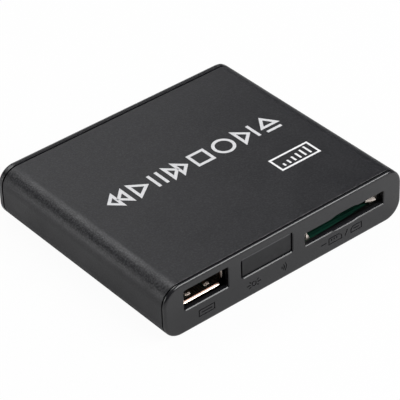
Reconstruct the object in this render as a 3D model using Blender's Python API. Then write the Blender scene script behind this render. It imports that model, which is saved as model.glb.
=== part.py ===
"""Pocket media player: an extruded aluminium sleeve closed by two moulded end panels.

Metres, +Z up. The origin is the middle of the footprint, the front panel faces -Y and +X is to
its right. Depths are measured from the front face, and rear depths from the rear face.
"""
import math

import bmesh
import bpy

MM = 0.001

# Values shared by all pieces
FIT = 0.3 * MM
OVERRUN = 1.0 * MM
EMBED = 0.2 * MM
WALL = 1.2 * MM
ROUND_STEPS = 8
CORNER_STEPS = 12

# Board, counted up from the bottom of the case
UNDER_BOARD = 3.5 * MM
BOARD_THICKNESS = 1.6 * MM
BOARD_BOTTOM = WALL + UNDER_BOARD
BOARD_TOP = BOARD_BOTTOM + BOARD_THICKNESS
SEAT = BOARD_TOP + FIT

# Serial bus receptacle, type A
BUS_INNER_WIDTH = 12.5 * MM
BUS_INNER_HEIGHT = 5.1 * MM
BUS_METAL = 0.3 * MM
BUS_CORNER = 0.35 * MM
BUS_FLARE = 0.4 * MM
BUS_FLARE_DEPTH = 0.45 * MM
BUS_LENGTH = 13.0 * MM
BUS_SETBACK = 0.4 * MM
BUS_LIFT = 0.95 * MM
BUS_REVEAL_X = 0.925 * MM
BUS_REVEAL_Z = 0.525 * MM
BUS_BOTTOM = BOARD_TOP + BUS_LIFT
PORT_Z = BUS_BOTTOM + BUS_METAL + BUS_INNER_HEIGHT / 2

# Outer heights
HEADROOM = 1.05 * MM
BODY_HEIGHT = PORT_Z + BUS_INNER_HEIGHT / 2 + BUS_METAL + BUS_FLARE + HEADROOM + WALL
BODY_MID_Z = BODY_HEIGHT / 2
CORNER_RADIUS = 5.2 * MM

# Memory card and its slot
CARD_WIDTH = 24.0 * MM
CARD_LENGTH = 32.0 * MM
CARD_THICKNESS = 2.1 * MM
CARD_PLAY = 0.45 * MM
CARD_RISE = 0.23 * MM
CARD_SUNK = 0.8 * MM
SLOT_SIDE = 1.75 * MM
SLOT_HEIGHT = 3.95 * MM
SLOT_CORNER = 0.25 * MM
SCOOP_HALF_WIDTH = 5.0 * MM
SCOOP_FLAT = 2.6 * MM
SCOOP_DEPTH = 0.45 * MM
SCOOP_RELIEF = 0.25 * MM
SCOOP_RELIEF_DEPTH = 0.7 * MM

# Front panel layout, from the left edge to the right edge
SIDE_MARGIN = 6.3 * MM
PORT_SPACING = 4.175 * MM
WINDOW_WIDTH = 17.2 * MM
BUS_OPENING_WIDTH = BUS_INNER_WIDTH + 2 * BUS_REVEAL_X
BUS_OPENING_HEIGHT = BUS_INNER_HEIGHT + 2 * BUS_REVEAL_Z
SLOT_WIDTH = CARD_WIDTH + 2 * SLOT_SIDE
BODY_WIDTH = 2 * SIDE_MARGIN + 2 * PORT_SPACING + BUS_OPENING_WIDTH + WINDOW_WIDTH + SLOT_WIDTH
HALF_WIDTH = BODY_WIDTH / 2
BUS_X = SIDE_MARGIN + BUS_OPENING_WIDTH / 2 - HALF_WIDTH
WINDOW_X = BUS_X + BUS_OPENING_WIDTH / 2 + PORT_SPACING + WINDOW_WIDTH / 2
SLOT_X = HALF_WIDTH - SIDE_MARGIN - SLOT_WIDTH / 2
WINDOW_HEIGHT = BUS_OPENING_HEIGHT - BUS_REVEAL_Z / 4

# End panels
FLANGE_FILLET = 0.7 * MM
FRONT_FLANGE = 0.8 * MM
FRONT_CORE = 1.45 * MM
REAR_FLANGE = 1.75 * MM
REAR_CORE = 2.45 * MM
SEAM = 0.45 * MM
SLEEVE_CHAMFER = 0.1 * MM
MOUTH_CHAMFER = 0.22 * MM
OPENING_CORNER = 0.5 * MM
WINDOW_CORNER = 0.8 * MM
RING_THICKNESS = 1.2 * MM
RING_DEPTH = 3.0 * MM
RIB_DEPTH = 1.5 * MM
RIB_THICKNESS = 0.9 * MM
CORE_INSET = WALL + FIT
BEHIND_FRONT = FRONT_CORE + FIT
BEHIND_REAR = REAR_CORE + FIT

# Snap arms of both panels, under the board
ARM_INSET = 6.0 * MM
ARM_WIDTH = 3.0 * MM
ARM_THICKNESS = 1.4 * MM
ARM_REACH = 4.2 * MM
BARB_LENGTH = 1.6 * MM
BARB_SLOPE = 0.9 * MM
ARM_X = HALF_WIDTH - ARM_INSET

# Card socket, with the path of the card in the middle of it
SOCKET_OFFSET = 0.4 * MM
SOCKET_FLOOR = 0.55 * MM
SOCKET_METAL = 0.25 * MM
SOCKET_HEADROOM = 0.25 * MM
CHANNEL_WIDTH = 1.85 * MM
CHANNEL_WALL = 0.4 * MM
SOCKET_END_WALL = 0.9 * MM
ARM_START = 6.2 * MM
SLIDER_TRAVEL = 3.5 * MM
SPRING_SOLID = 2.9 * MM
SPRING_ROOM = SLIDER_TRAVEL + SPRING_SOLID
LATCH_TRAVEL = 2.6 * MM
SLIDER_LENGTH = 7.0 * MM
FINGER_SHARE = 0.55
FINGER_LENGTH = 1.2 * MM
FINGER_REACH = 1.6 * MM
CARD_X = SLOT_X + SOCKET_OFFSET
CARD_LOW = SEAT + SOCKET_FLOOR + CARD_RISE
SLOT_Z = CARD_LOW + CARD_THICKNESS / 2
FLOOR_TOP = SEAT + SOCKET_FLOOR
COVER_LOW = CARD_LOW + CARD_THICKNESS + SOCKET_HEADROOM
COVER_TOP = COVER_LOW + SOCKET_METAL
PATH_LEFT = CARD_X - CARD_WIDTH / 2 - CARD_PLAY
PATH_RIGHT = CARD_X + CARD_WIDTH / 2 + CARD_PLAY
CHANNEL_LEFT = PATH_RIGHT + SOCKET_METAL
CHANNEL_RIGHT = CHANNEL_LEFT + CHANNEL_WIDTH
BASE_RIGHT = CHANNEL_RIGHT + CHANNEL_WALL
COVER_RIGHT = BASE_RIGHT + FIT + SOCKET_METAL
FINGER_DEPTH = CARD_SUNK + CARD_LENGTH - LATCH_TRAVEL
SLIDER_FRONT = FINGER_DEPTH - FINGER_SHARE * SLIDER_LENGTH
SLIDER_REAR = SLIDER_FRONT + SLIDER_LENGTH
END_WALL_FRONT = SLIDER_REAR + SPRING_ROOM
SOCKET_REAR = END_WALL_FRONT + SOCKET_END_WALL
SOCKET_FRONT = BEHIND_FRONT + SOCKET_METAL

# Card contacts
CONTACT_COUNT = 9
CONTACT_MARGIN = 2.0 * MM
CONTACT_PITCH = (CARD_WIDTH - 2 * CONTACT_MARGIN) / (CONTACT_COUNT - 1)
CONTACT_WIDTH = 0.7 * MM
CONTACT_METAL = 0.2 * MM
CONTACT_TAIL = 1.2 * MM
CONTACT_REACH = 10.5 * MM

# Depth of the case: card socket, a row of power parts, and the rear sockets
ROW_DEPTH = 13.4 * MM
REAR_SOCKET_LENGTH = 12.0 * MM
BODY_DEPTH = SOCKET_REAR + CONTACT_TAIL + ROW_DEPTH + REAR_SOCKET_LENGTH + BEHIND_REAR
FRONT_Y = -BODY_DEPTH / 2
REAR_Y = BODY_DEPTH / 2
BOARD_SIDE_GAP = 0.5 * MM
ROW_MIDDLE = SOCKET_REAR + CONTACT_TAIL + ROW_DEPTH / 2

# Rear sockets, seen from the front: power at the right, then video and two sound sockets
POWER_X = 28.0 * MM
POWER_WIDTH = 7.6 * MM
POWER_HEIGHT = 6.0 * MM
POWER_SNOUT = 2.7 * MM
POWER_BORE = 1.75 * MM
POWER_PIN = 0.65 * MM
VIDEO_WIDTH = 14.0 * MM
VIDEO_HEIGHT = 4.55 * MM
VIDEO_METAL = 0.3 * MM
VIDEO_SLANT = 1.4 * MM
VIDEO_LIFT = 0.6 * MM
VIDEO_TONGUE = 1.0 * MM
SOUND_WIDTH = 6.6 * MM
SOUND_HEIGHT = 5.4 * MM
SOUND_BORE = 1.8 * MM
FERRULE_WALL = 1.0 * MM
REAR_SPACING = 6.0 * MM
SOCKET_SINK = 0.6 * MM
PANEL_CLEARANCE = 0.35 * MM
VIDEO_X = POWER_X - POWER_WIDTH / 2 - REAR_SPACING - VIDEO_WIDTH / 2
SOUND_X = VIDEO_X - VIDEO_WIDTH / 2 - REAR_SPACING - SOUND_WIDTH / 2
SOUND_PITCH = SOUND_WIDTH + REAR_SPACING
SOUND_XS = (SOUND_X, SOUND_X - SOUND_PITCH)

# Solder legs of the metal shells
LEG_WIDTH = 1.5 * MM
LEG_METAL = 0.3 * MM
LEG_BELOW = 1.2 * MM
BUS_LEG_DEPTH = 8.5 * MM
VIDEO_LEG_DEPTH = 6.5 * MM

BLACK_METAL = ((0.052, 0.053, 0.056), 0.45, 0.6)
BLACK_PLASTIC = ((0.060, 0.060, 0.064), 0.5, 0.0)
DARK_PLASTIC = ((0.012, 0.012, 0.013), 0.55, 0.0)
SMOKED_PLASTIC = ((0.045, 0.045, 0.048), 0.25, 0.0)
TIN_PLATE = ((0.72, 0.71, 0.69), 0.25, 1.0)
GOLD_PLATE = ((0.83, 0.62, 0.27), 0.25, 1.0)
GREEN_BOARD = ((0.012, 0.085, 0.055), 0.4, 0.0)
CHIP_RESIN = ((0.02, 0.02, 0.022), 0.6, 0.0)
CLEAR_RESIN = ((0.75, 0.10, 0.08), 0.15, 0.0)


def rounded(half_width, half_height, radius, centre, steps=ROUND_STEPS):
    """Outline of a rounded rectangle about centre, counter-clockwise, steps points per corner arc."""
    points = []
    for turn, (sx, sy) in enumerate(((1, -1), (1, 1), (-1, 1), (-1, -1))):
        cx = centre[0] + sx * (half_width - radius)
        cy = centre[1] + sy * (half_height - radius)
        for step in range(steps + 1):
            angle = math.pi / 2 * (turn - 1 + step / steps)
            points.append((cx + radius * math.cos(angle), cy + radius * math.sin(angle)))
    return points


def in_plane(outline, plane, level):
    """The outline's points in space: plane XZ lies at y = level, YZ at x = level and XY at z = level."""
    if plane == "XZ":
        return [(u, level, v) for u, v in outline]
    if plane == "YZ":
        return [(level, u, v) for u, v in outline]
    return [(u, v, level) for u, v in outline]


def skin(bm, rings, closed=False):
    """Quads between each ring of vertices and the next, and back to the first when closed."""
    pairs = list(zip(rings, rings[1:]))
    if closed:
        pairs.append((rings[-1], rings[0]))
    for low, high in pairs:
        for i in range(len(low)):
            j = (i + 1) % len(low)
            bm.faces.new((low[i], low[j], high[j], high[i]))


def loft(bm, sections):
    """Solid through sections of equal point counts, capped at both ends."""
    rings = [[bm.verts.new(p) for p in section] for section in sections]
    skin(bm, rings)
    bm.faces.new(rings[0])
    bm.faces.new(rings[-1])


def sleeve_loft(bm, sections):
    """Solid whose sections close on themselves, as the outside of a tube and then its inside."""
    rings = [[bm.verts.new(p) for p in section] for section in sections]
    skin(bm, rings, closed=True)


def prism(bm, outline, plane, start, end):
    """Outline extruded from start to end, square to its plane."""
    loft(bm, [in_plane(outline, plane, start), in_plane(outline, plane, end)])


def block(bm, low, high):
    """Box between two corners."""
    outline = [(low[0], low[1]), (high[0], low[1]), (high[0], high[1]), (low[0], high[1])]
    prism(bm, outline, "XY", low[2], high[2])


def turned(bm, profile, centre, axis, steps):
    """Solid turned about an axis along Y or Z from a closed profile of (radius, place) points."""
    rings = []
    for radius, place in profile:
        ring = []
        count = steps if radius > 0 else 1
        for step in range(count):
            angle = 2 * math.pi * step / steps
            u = centre[0] + radius * math.cos(angle)
            v = centre[1] + radius * math.sin(angle)
            ring.append(bm.verts.new((u, place, v) if axis == "Y" else (u, v, place)))
        rings.append(ring)
    pairs = list(zip(rings, rings[1:]))
    if len(rings[0]) > 1:
        pairs.append((rings[-1], rings[0]))
    for low, high in pairs:
        for step in range(steps):
            following = (step + 1) % steps
            if len(low) == 1:
                bm.faces.new((low[0], high[following], high[step]))
            elif len(high) == 1:
                bm.faces.new((low[step], low[following], high[0]))
            else:
                bm.faces.new((low[step], low[following], high[following], high[step]))


def strip(points, thickness):
    """Closed outline of a bent strip, thickness thick, whose middle line runs through points."""
    left, right = [], []
    for i, (u, v) in enumerate(points):
        before = points[max(i - 1, 0)]
        after = points[min(i + 1, len(points) - 1)]
        du, dv = after[0] - before[0], after[1] - before[1]
        length = math.hypot(du, dv)
        nu, nv = -dv / length * thickness / 2, du / length * thickness / 2
        left.append((u + nu, v + nv))
        right.append((u - nu, v - nv))
    return left + right[::-1]


def piece(name, bm, look, smooth=True):
    """Object from a bmesh, with its own material."""
    bmesh.ops.recalc_face_normals(bm, faces=bm.faces)
    mesh = bpy.data.meshes.new(name)
    bm.to_mesh(mesh)
    bm.free()
    if smooth:
        mesh.shade_smooth()
        mesh.set_sharp_from_angle(angle=math.radians(35))
    colour, roughness, metallic = look
    material = bpy.data.materials.new(name + "_finish")
    material.use_nodes = True
    shader = material.node_tree.nodes["Principled BSDF"]
    shader.inputs["Base Color"].default_value = (*colour, 1.0)
    shader.inputs["Roughness"].default_value = roughness
    shader.inputs["Metallic"].default_value = metallic
    mesh.materials.append(material)
    made = bpy.data.objects.new(name, mesh)
    bpy.context.scene.collection.objects.link(made)
    return made


def combine(target, build, operation, label):
    """Boolean of target with the solids that build adds to a bmesh."""
    bm = bmesh.new()
    build(bm)
    bmesh.ops.recalc_face_normals(bm, faces=bm.faces)
    mesh = bpy.data.meshes.new(target.name + "_" + label)
    bm.to_mesh(mesh)
    bm.free()
    tool = bpy.data.objects.new(mesh.name, mesh)
    tool.hide_render = True
    tool.display_type = "WIRE"
    bpy.context.scene.collection.objects.link(tool)
    modifier = target.modifiers.new(label, "BOOLEAN")
    modifier.operation = operation
    modifier.object = tool
    modifier.solver = "EXACT"


def carve(target, build, label):
    combine(target, build, "DIFFERENCE", label)


def weld(target, build, label):
    combine(target, build, "UNION", label)


def case_outline(inset, steps=CORNER_STEPS):
    """Outline of the case, drawn in by inset all round."""
    radius = CORNER_RADIUS - inset
    return rounded(HALF_WIDTH - inset, BODY_MID_Z - inset, radius, (0, BODY_MID_Z), steps)


def case_sleeve():
    """Extruded tube with chamfered ends and two ribs inside each wall that hold the board."""
    front = FRONT_Y + FRONT_FLANGE + SEAM
    rear = REAR_Y - REAR_FLANGE - SEAM
    outer = [
        (front, SLEEVE_CHAMFER),
        (front + SLEEVE_CHAMFER, 0),
        (rear - SLEEVE_CHAMFER, 0),
        (rear, SLEEVE_CHAMFER),
        (rear, WALL),
        (front, WALL),
    ]
    bm = bmesh.new()
    sleeve_loft(bm, [in_plane(case_outline(inset), "XZ", y) for y, inset in outer])
    sleeve = piece("case_sleeve", bm, BLACK_METAL)

    def ribs(bm):
        start, end = FRONT_Y + BEHIND_FRONT, REAR_Y - BEHIND_REAR
        for side in (-1, 1):
            tip = side * (HALF_WIDTH - WALL - RIB_DEPTH)
            root = side * (HALF_WIDTH - WALL + EMBED)
            for low in (BOARD_BOTTOM - FIT - RIB_THICKNESS, SEAT):
                high = low + RIB_THICKNESS
                block(bm, (min(tip, root), start, low), (max(tip, root), end, high))

    weld(sleeve, ribs, "ribs")


def panel_body(name, face, inward, flange, core):
    """Moulded end panel: flange with a rounded outer edge, stepped core and spigot ring."""
    sections = []
    for step in range(ROUND_STEPS // 2 + 1):
        angle = math.pi / 2 * step / (ROUND_STEPS // 2)
        inset = FLANGE_FILLET * (1 - math.sin(angle))
        depth = FLANGE_FILLET * (1 - math.cos(angle))
        sections.append((depth, inset))
    sections += [(flange, 0), (flange, CORE_INSET), (core, CORE_INSET)]
    bm = bmesh.new()
    loft(bm, [in_plane(case_outline(inset), "XZ", face + inward * depth) for depth, inset in sections])
    return piece(name, bm, BLACK_PLASTIC)


def ring_with_gaps(panel, face, inward, core, gaps):
    """Spigot ring that plugs into the sleeve, left out at the ribs and at each (left, right) gap."""
    start = face + inward * (core - EMBED)
    end = face + inward * (core + RING_DEPTH)
    low_y, high_y = min(start, end) - OVERRUN, max(start, end) + OVERRUN
    bm = bmesh.new()
    inner = CORE_INSET + RING_THICKNESS
    shape = [(start, CORE_INSET + EMBED / 2), (end, CORE_INSET + EMBED / 2), (end, inner), (start, inner)]
    sleeve_loft(bm, [in_plane(case_outline(inset), "XZ", y) for y, inset in shape])
    ring = piece(panel.name + "_ring", bm, BLACK_PLASTIC)

    def gap_boxes(bm):
        low = BOARD_BOTTOM - 2 * FIT - RIB_THICKNESS
        high = SEAT + RIB_THICKNESS + FIT
        for side in (-1, 1):
            near = side * (HALF_WIDTH - WALL - RIB_DEPTH - FIT)
            far = side * (HALF_WIDTH + OVERRUN)
            block(bm, (min(near, far), low_y, low), (max(near, far), high_y, high))
        for left, right in gaps:
            block(bm, (left, low_y, high + OVERRUN), (right, high_y, BODY_HEIGHT + OVERRUN))

    carve(ring, gap_boxes, "gaps")
    ring.hide_render = True
    ring.display_type = "WIRE"
    modifier = panel.modifiers.new("ring", "BOOLEAN")
    modifier.operation = "UNION"
    modifier.object = ring
    modifier.solver = "EXACT"


def snap_arms(panel, face, inward, core):
    """Two arms that run under the board and hook up into its catch holes."""
    top = BOARD_BOTTOM - FIT
    tip = core + ARM_REACH + BARB_LENGTH
    outline = [
        (core - EMBED, top - ARM_THICKNESS),
        (tip, top - ARM_THICKNESS),
        (tip, top),
        (tip - BARB_SLOPE, BOARD_TOP - FIT),
        (core + ARM_REACH, BOARD_TOP - FIT),
        (core + ARM_REACH, top),
        (core - EMBED, top),
    ]
    flat = [(face + inward * depth, z) for depth, z in outline]

    def arms(bm):
        for side in (-1, 1):
            prism(bm, flat, "YZ", side * ARM_X - ARM_WIDTH / 2, side * ARM_X + ARM_WIDTH / 2)

    weld(panel, arms, "arms")


def mouth(bm, half_width, half_height, radius, centre, face, inward, depth):
    """Cutter for an opening with a chamfered outer edge."""
    steps = ((-MOUTH_CHAMFER, 2 * MOUTH_CHAMFER), (MOUTH_CHAMFER, 0), (depth, 0))
    sections = []
    for place, grow in steps:
        outline = rounded(half_width + grow, half_height + grow, radius + grow, centre)
        sections.append(in_plane(outline, "XZ", face + inward * place))
    loft(bm, sections)


def scoop_outline(side, height, grow, shift):
    """Thumb scoop in the slot's upper (side 1) or lower (side -1) edge; its flanks follow a cosine."""
    edge = SLOT_HEIGHT / 2 + shift
    crest, foot = SCOOP_FLAT + grow, SCOOP_HALF_WIDTH + grow
    points = [(SLOT_X - foot, SLOT_Z + side * (edge - SCOOP_DEPTH))]
    for sx in (-1, 1):
        for step in range(ROUND_STEPS + 1):
            share = step / ROUND_STEPS if sx > 0 else 1 - step / ROUND_STEPS
            rise = height * (1 + math.cos(math.pi * share)) / 2
            points.append((SLOT_X + sx * (crest + share * (foot - crest)), SLOT_Z + side * (edge + rise)))
    points.append((SLOT_X + foot, SLOT_Z + side * (edge - SCOOP_DEPTH)))
    return points


def front_panel():
    """Front end panel with the receptacle opening, the window and the card slot, scooped for a thumb."""
    panel = panel_body("front_panel", FRONT_Y, 1, FRONT_FLANGE, FRONT_CORE)
    gaps = [(BUS_X - BUS_OPENING_WIDTH / 2 - FIT, WINDOW_X + WINDOW_WIDTH / 2 + 2 * WINDOW_LIP)]
    ring_with_gaps(panel, FRONT_Y, 1, FRONT_CORE, gaps)
    snap_arms(panel, FRONT_Y, 1, FRONT_CORE)
    depth = FRONT_CORE + OVERRUN

    def bus_and_window(bm):
        mouth(bm, BUS_OPENING_WIDTH / 2, BUS_OPENING_HEIGHT / 2, OPENING_CORNER,
              (BUS_X, PORT_Z), FRONT_Y, 1, depth)
        mouth(bm, WINDOW_WIDTH / 2, WINDOW_HEIGHT / 2, WINDOW_CORNER,
              (WINDOW_X, PORT_Z), FRONT_Y, 1, depth)
        mouth(bm, SLOT_WIDTH / 2, SLOT_HEIGHT / 2, SLOT_CORNER, (SLOT_X, SLOT_Z), FRONT_Y, 1, depth)

    def upper_scoop(bm):
        sections = []
        for place, grow in ((-MOUTH_CHAMFER, 2 * MOUTH_CHAMFER), (MOUTH_CHAMFER, 0), (depth, 0)):
            outline = scoop_outline(1, SCOOP_DEPTH, grow, grow)
            sections.append(in_plane(outline, "XZ", FRONT_Y + place))
        loft(bm, sections)

    def lower_scoop(bm):
        sections = []
        for share in (-0.5, 1.1):
            outline = scoop_outline(-1, SCOOP_RELIEF, 0, -share * SCOOP_RELIEF)
            sections.append(in_plane(outline, "XZ", FRONT_Y + share * SCOOP_RELIEF_DEPTH))
        loft(bm, sections)

    carve(panel, bus_and_window, "openings")
    carve(panel, upper_scoop, "upper_scoop")
    carve(panel, lower_scoop, "lower_scoop")


# Window insert
WINDOW_SUNK = 0.5 * MM
WINDOW_GAP = 0.2 * MM
WINDOW_EDGE = 0.12 * MM
WINDOW_LIP = 0.45 * MM
WINDOW_LIP_DEPTH = 0.8 * MM


def ir_window():
    """Smoked insert that fills the window from behind, with a lip that seats on the panel."""
    shape = (
        (WINDOW_SUNK, -WINDOW_GAP - WINDOW_EDGE),
        (WINDOW_SUNK + WINDOW_EDGE, -WINDOW_GAP),
        (BEHIND_FRONT, -WINDOW_GAP),
        (BEHIND_FRONT, WINDOW_LIP),
        (BEHIND_FRONT + WINDOW_LIP_DEPTH, WINDOW_LIP),
    )
    sections = []
    for depth, grow in shape:
        half_width, half_height = WINDOW_WIDTH / 2 + grow, WINDOW_HEIGHT / 2 + grow
        outline = rounded(half_width, half_height, WINDOW_CORNER + grow, (WINDOW_X, PORT_Z))
        sections.append(in_plane(outline, "XZ", FRONT_Y + depth))
    bm = bmesh.new()
    loft(bm, sections)
    piece("ir_window", bm, SMOKED_PLASTIC)


def video_outline(grow):
    """Outline of the video socket: a wide rectangle with its lower corners cut off aslant."""
    left, right = VIDEO_X - VIDEO_WIDTH / 2 - grow, VIDEO_X + VIDEO_WIDTH / 2 + grow
    bottom = SEAT + VIDEO_LIFT + VIDEO_METAL - grow
    top = SEAT + VIDEO_LIFT + VIDEO_METAL + VIDEO_HEIGHT + grow
    return [
        (left + VIDEO_SLANT, bottom),
        (right - VIDEO_SLANT, bottom),
        (right, bottom + VIDEO_SLANT),
        (right, top),
        (left, top),
        (left, bottom + VIDEO_SLANT),
    ]


def rear_panel():
    """Rear end panel with a hole for each rear socket."""
    panel = panel_body("rear_panel", REAR_Y, -1, REAR_FLANGE, REAR_CORE)
    gaps = [(SOUND_XS[1] - SOUND_WIDTH / 2 - FIT, POWER_X + POWER_WIDTH / 2 + FIT)]
    ring_with_gaps(panel, REAR_Y, -1, REAR_CORE, gaps)
    snap_arms(panel, REAR_Y, -1, REAR_CORE)
    low_y, high_y = REAR_Y - REAR_CORE - OVERRUN, REAR_Y + OVERRUN

    def holes(bm):
        radius = POWER_SNOUT + PANEL_CLEARANCE
        turned(bm, [(0, low_y), (radius, low_y), (radius, high_y), (0, high_y)],
               (POWER_X, SEAT + POWER_HEIGHT / 2), "Y", 4 * ROUND_STEPS)
        radius = SOUND_BORE + FERRULE_WALL + PANEL_CLEARANCE
        for x in SOUND_XS:
            turned(bm, [(0, low_y), (radius, low_y), (radius, high_y), (0, high_y)],
                   (x, SEAT + SOUND_HEIGHT / 2), "Y", 4 * ROUND_STEPS)
        prism(bm, video_outline(VIDEO_METAL + PANEL_CLEARANCE), "XZ", low_y, high_y)

    carve(panel, holes, "holes")


def leg_places():
    """Middle (x, depth) of each solder leg that goes through the board."""
    places = []
    for side in (-1, 1):
        places.append((BUS_X + side * (BUS_INNER_WIDTH / 2 + LEG_METAL), BEHIND_FRONT + BUS_LEG_DEPTH))
        places.append((VIDEO_X + side * (VIDEO_WIDTH / 2 + LEG_METAL), BODY_DEPTH - VIDEO_LEG_DEPTH))
    return places


def main_board():
    """Circuit board on the sleeve's ribs, cut back under the receptacle, with catch and leg holes."""
    half = HALF_WIDTH - WALL - BOARD_SIDE_GAP
    bm = bmesh.new()
    low = (-half, FRONT_Y + BEHIND_FRONT, BOARD_BOTTOM)
    high = (half, REAR_Y - BEHIND_REAR, BOARD_TOP)
    block(bm, low, high)
    board = piece("main_board", bm, GREEN_BOARD)

    def holes(bm):
        half = BUS_INNER_WIDTH / 2 + BUS_METAL + BUS_FLARE + FIT
        block(bm, (BUS_X - half, low[1] - OVERRUN, BOARD_BOTTOM - OVERRUN),
              (BUS_X + half, FRONT_Y + BUS_LIP + BUS_OVERHANG, BOARD_TOP + OVERRUN))
        for side in (-1, 1):
            left = side * ARM_X - ARM_WIDTH / 2 - FIT
            right = side * ARM_X + ARM_WIDTH / 2 + FIT
            for face, inward, core in ((FRONT_Y, 1, FRONT_CORE), (REAR_Y, -1, REAR_CORE)):
                near = face + inward * (core + ARM_REACH - FIT)
                far = face + inward * (core + ARM_REACH + BARB_LENGTH + FIT)
                block(bm, (left, min(near, far), BOARD_BOTTOM - OVERRUN),
                      (right, max(near, far), BOARD_TOP + OVERRUN))
        for x, depth in leg_places():
            half_x, half_y = LEG_METAL / 2 + FIT, LEG_WIDTH / 2 + FIT
            y = FRONT_Y + depth
            block(bm, (x - half_x, y - half_y, BOARD_BOTTOM - OVERRUN),
                  (x + half_x, y + half_y, BOARD_TOP + OVERRUN))

    carve(board, holes, "holes")


# Details of the receptacle
FINGER_WIDTH = 1.6 * MM
FINGER_SPREAD = 3.0 * MM
FINGER_RISE = 0.6 * MM
FINGER_METAL = 0.25 * MM
FINGER_TIP = 1.6 * MM
FINGER_RUN = 5.0 * MM
TONGUE_SETBACK = 1.9 * MM
TONGUE_HALF_WIDTH = 5.4 * MM
TONGUE_THICKNESS = 1.8 * MM
TONGUE_BELOW = 0.9 * MM
BUS_BLOCK_LENGTH = 3.8 * MM
BUS_CONTACT_WIDTH = 1.0 * MM
BUS_CONTACT_METAL = 0.25 * MM
BUS_CONTACT_SETBACK = 0.8 * MM
BUS_CONTACT_SPREADS = (-3.5 * MM, -1.0 * MM, 1.0 * MM, 3.5 * MM)
BUS_LIP = BEHIND_FRONT + BUS_SETBACK
BUS_SEAM = 0.15 * MM
BUS_OVERHANG = 2.2 * MM
LIP_SLIT = 0.6 * MM
SIDE_LIP = 1.15 * MM
BUS_REAR = BUS_LIP + BUS_LENGTH
TONGUE_LOW = PORT_Z + BUS_INNER_HEIGHT / 2 - TONGUE_BELOW - TONGUE_THICKNESS


def receptacle_shell():
    """Folded metal shell with a flared mouth, four sprung fingers and two legs."""
    half_width, half_height = BUS_INNER_WIDTH / 2, BUS_INNER_HEIGHT / 2
    shape = (
        (BUS_LIP, BUS_FLARE + BUS_METAL),
        (BUS_LIP + BUS_FLARE_DEPTH, BUS_METAL),
        (BUS_REAR, BUS_METAL),
        (BUS_REAR, 0),
        (BUS_LIP + BUS_FLARE_DEPTH, 0),
        (BUS_LIP, BUS_FLARE),
    )
    sections = []
    for depth, grow in shape:
        outline = rounded(half_width + grow, half_height + grow, BUS_CORNER + grow, (BUS_X, PORT_Z))
        sections.append(in_plane(outline, "XZ", FRONT_Y + depth))
    bm = bmesh.new()
    sleeve_loft(bm, sections)
    shell = piece("receptacle_shell", bm, TIN_PLATE)

    def slits(bm):
        outer = BUS_METAL + BUS_FLARE + OVERRUN
        start, end = FRONT_Y + BUS_LIP - OVERRUN, FRONT_Y + BUS_LIP + LIP_SLIT
        for sx in (-1, 1):
            inner_x, outer_x = BUS_X + sx * (half_width - BUS_CORNER), BUS_X + sx * (half_width + outer)
            for sz in (-1, 1):
                inner_z, outer_z = PORT_Z + sz * SIDE_LIP, PORT_Z + sz * (half_height + outer)
                block(bm, (min(inner_x, outer_x), start, min(inner_z, outer_z)),
                      (max(inner_x, outer_x), end, max(inner_z, outer_z)))

    def seam(bm):
        low = PORT_Z - half_height - BUS_METAL - BUS_FLARE - OVERRUN
        block(bm, (BUS_X - BUS_SEAM / 2, FRONT_Y + BUS_LIP - OVERRUN, low),
              (BUS_X + BUS_SEAM / 2, FRONT_Y + BUS_REAR + OVERRUN, PORT_Z - half_height + EMBED))

    def finger_windows(bm):
        for spread in (-FINGER_SPREAD, FINGER_SPREAD):
            left = BUS_X + spread - FINGER_WIDTH / 2 - FIT
            right = BUS_X + spread + FINGER_WIDTH / 2 + FIT
            start = FRONT_Y + BUS_LIP + FINGER_TIP - FIT
            end = start + FINGER_RUN
            for side in (-1, 1):
                inner = PORT_Z + side * (half_height - EMBED)
                outer = PORT_Z + side * (half_height + BUS_METAL + OVERRUN)
                block(bm, (left, start, min(inner, outer)), (right, end, max(inner, outer)))

    def fingers(bm):
        tip = FRONT_Y + BUS_LIP + FINGER_TIP
        for side in (-1, 1):
            wall = half_height + BUS_METAL / 2
            shares = ((0, 0.15), (0.12, 0.8), (0.25, 1.0), (0.5, 0.8), (0.8, 0.2), (1.0, 0), (1.12, 0))
            line = []
            for along, rise in shares:
                line.append((tip + along * FINGER_RUN, PORT_Z + side * (wall - rise * FINGER_RISE)))
            outline = strip(line, FINGER_METAL)
            for spread in (-FINGER_SPREAD, FINGER_SPREAD):
                middle = BUS_X + spread
                prism(bm, outline, "YZ", middle - FINGER_WIDTH / 2, middle + FINGER_WIDTH / 2)

    def legs(bm):
        y = FRONT_Y + BEHIND_FRONT + BUS_LEG_DEPTH
        for side in (-1, 1):
            x = BUS_X + side * (BUS_INNER_WIDTH / 2 + LEG_METAL)
            block(bm, (x - LEG_METAL / 2, y - LEG_WIDTH / 2, BOARD_BOTTOM - LEG_BELOW),
                  (x + LEG_METAL / 2, y + LEG_WIDTH / 2, PORT_Z))

    carve(shell, slits, "slits")
    carve(shell, seam, "seam")
    carve(shell, finger_windows, "windows")
    weld(shell, fingers, "fingers")
    weld(shell, legs, "legs")


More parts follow.
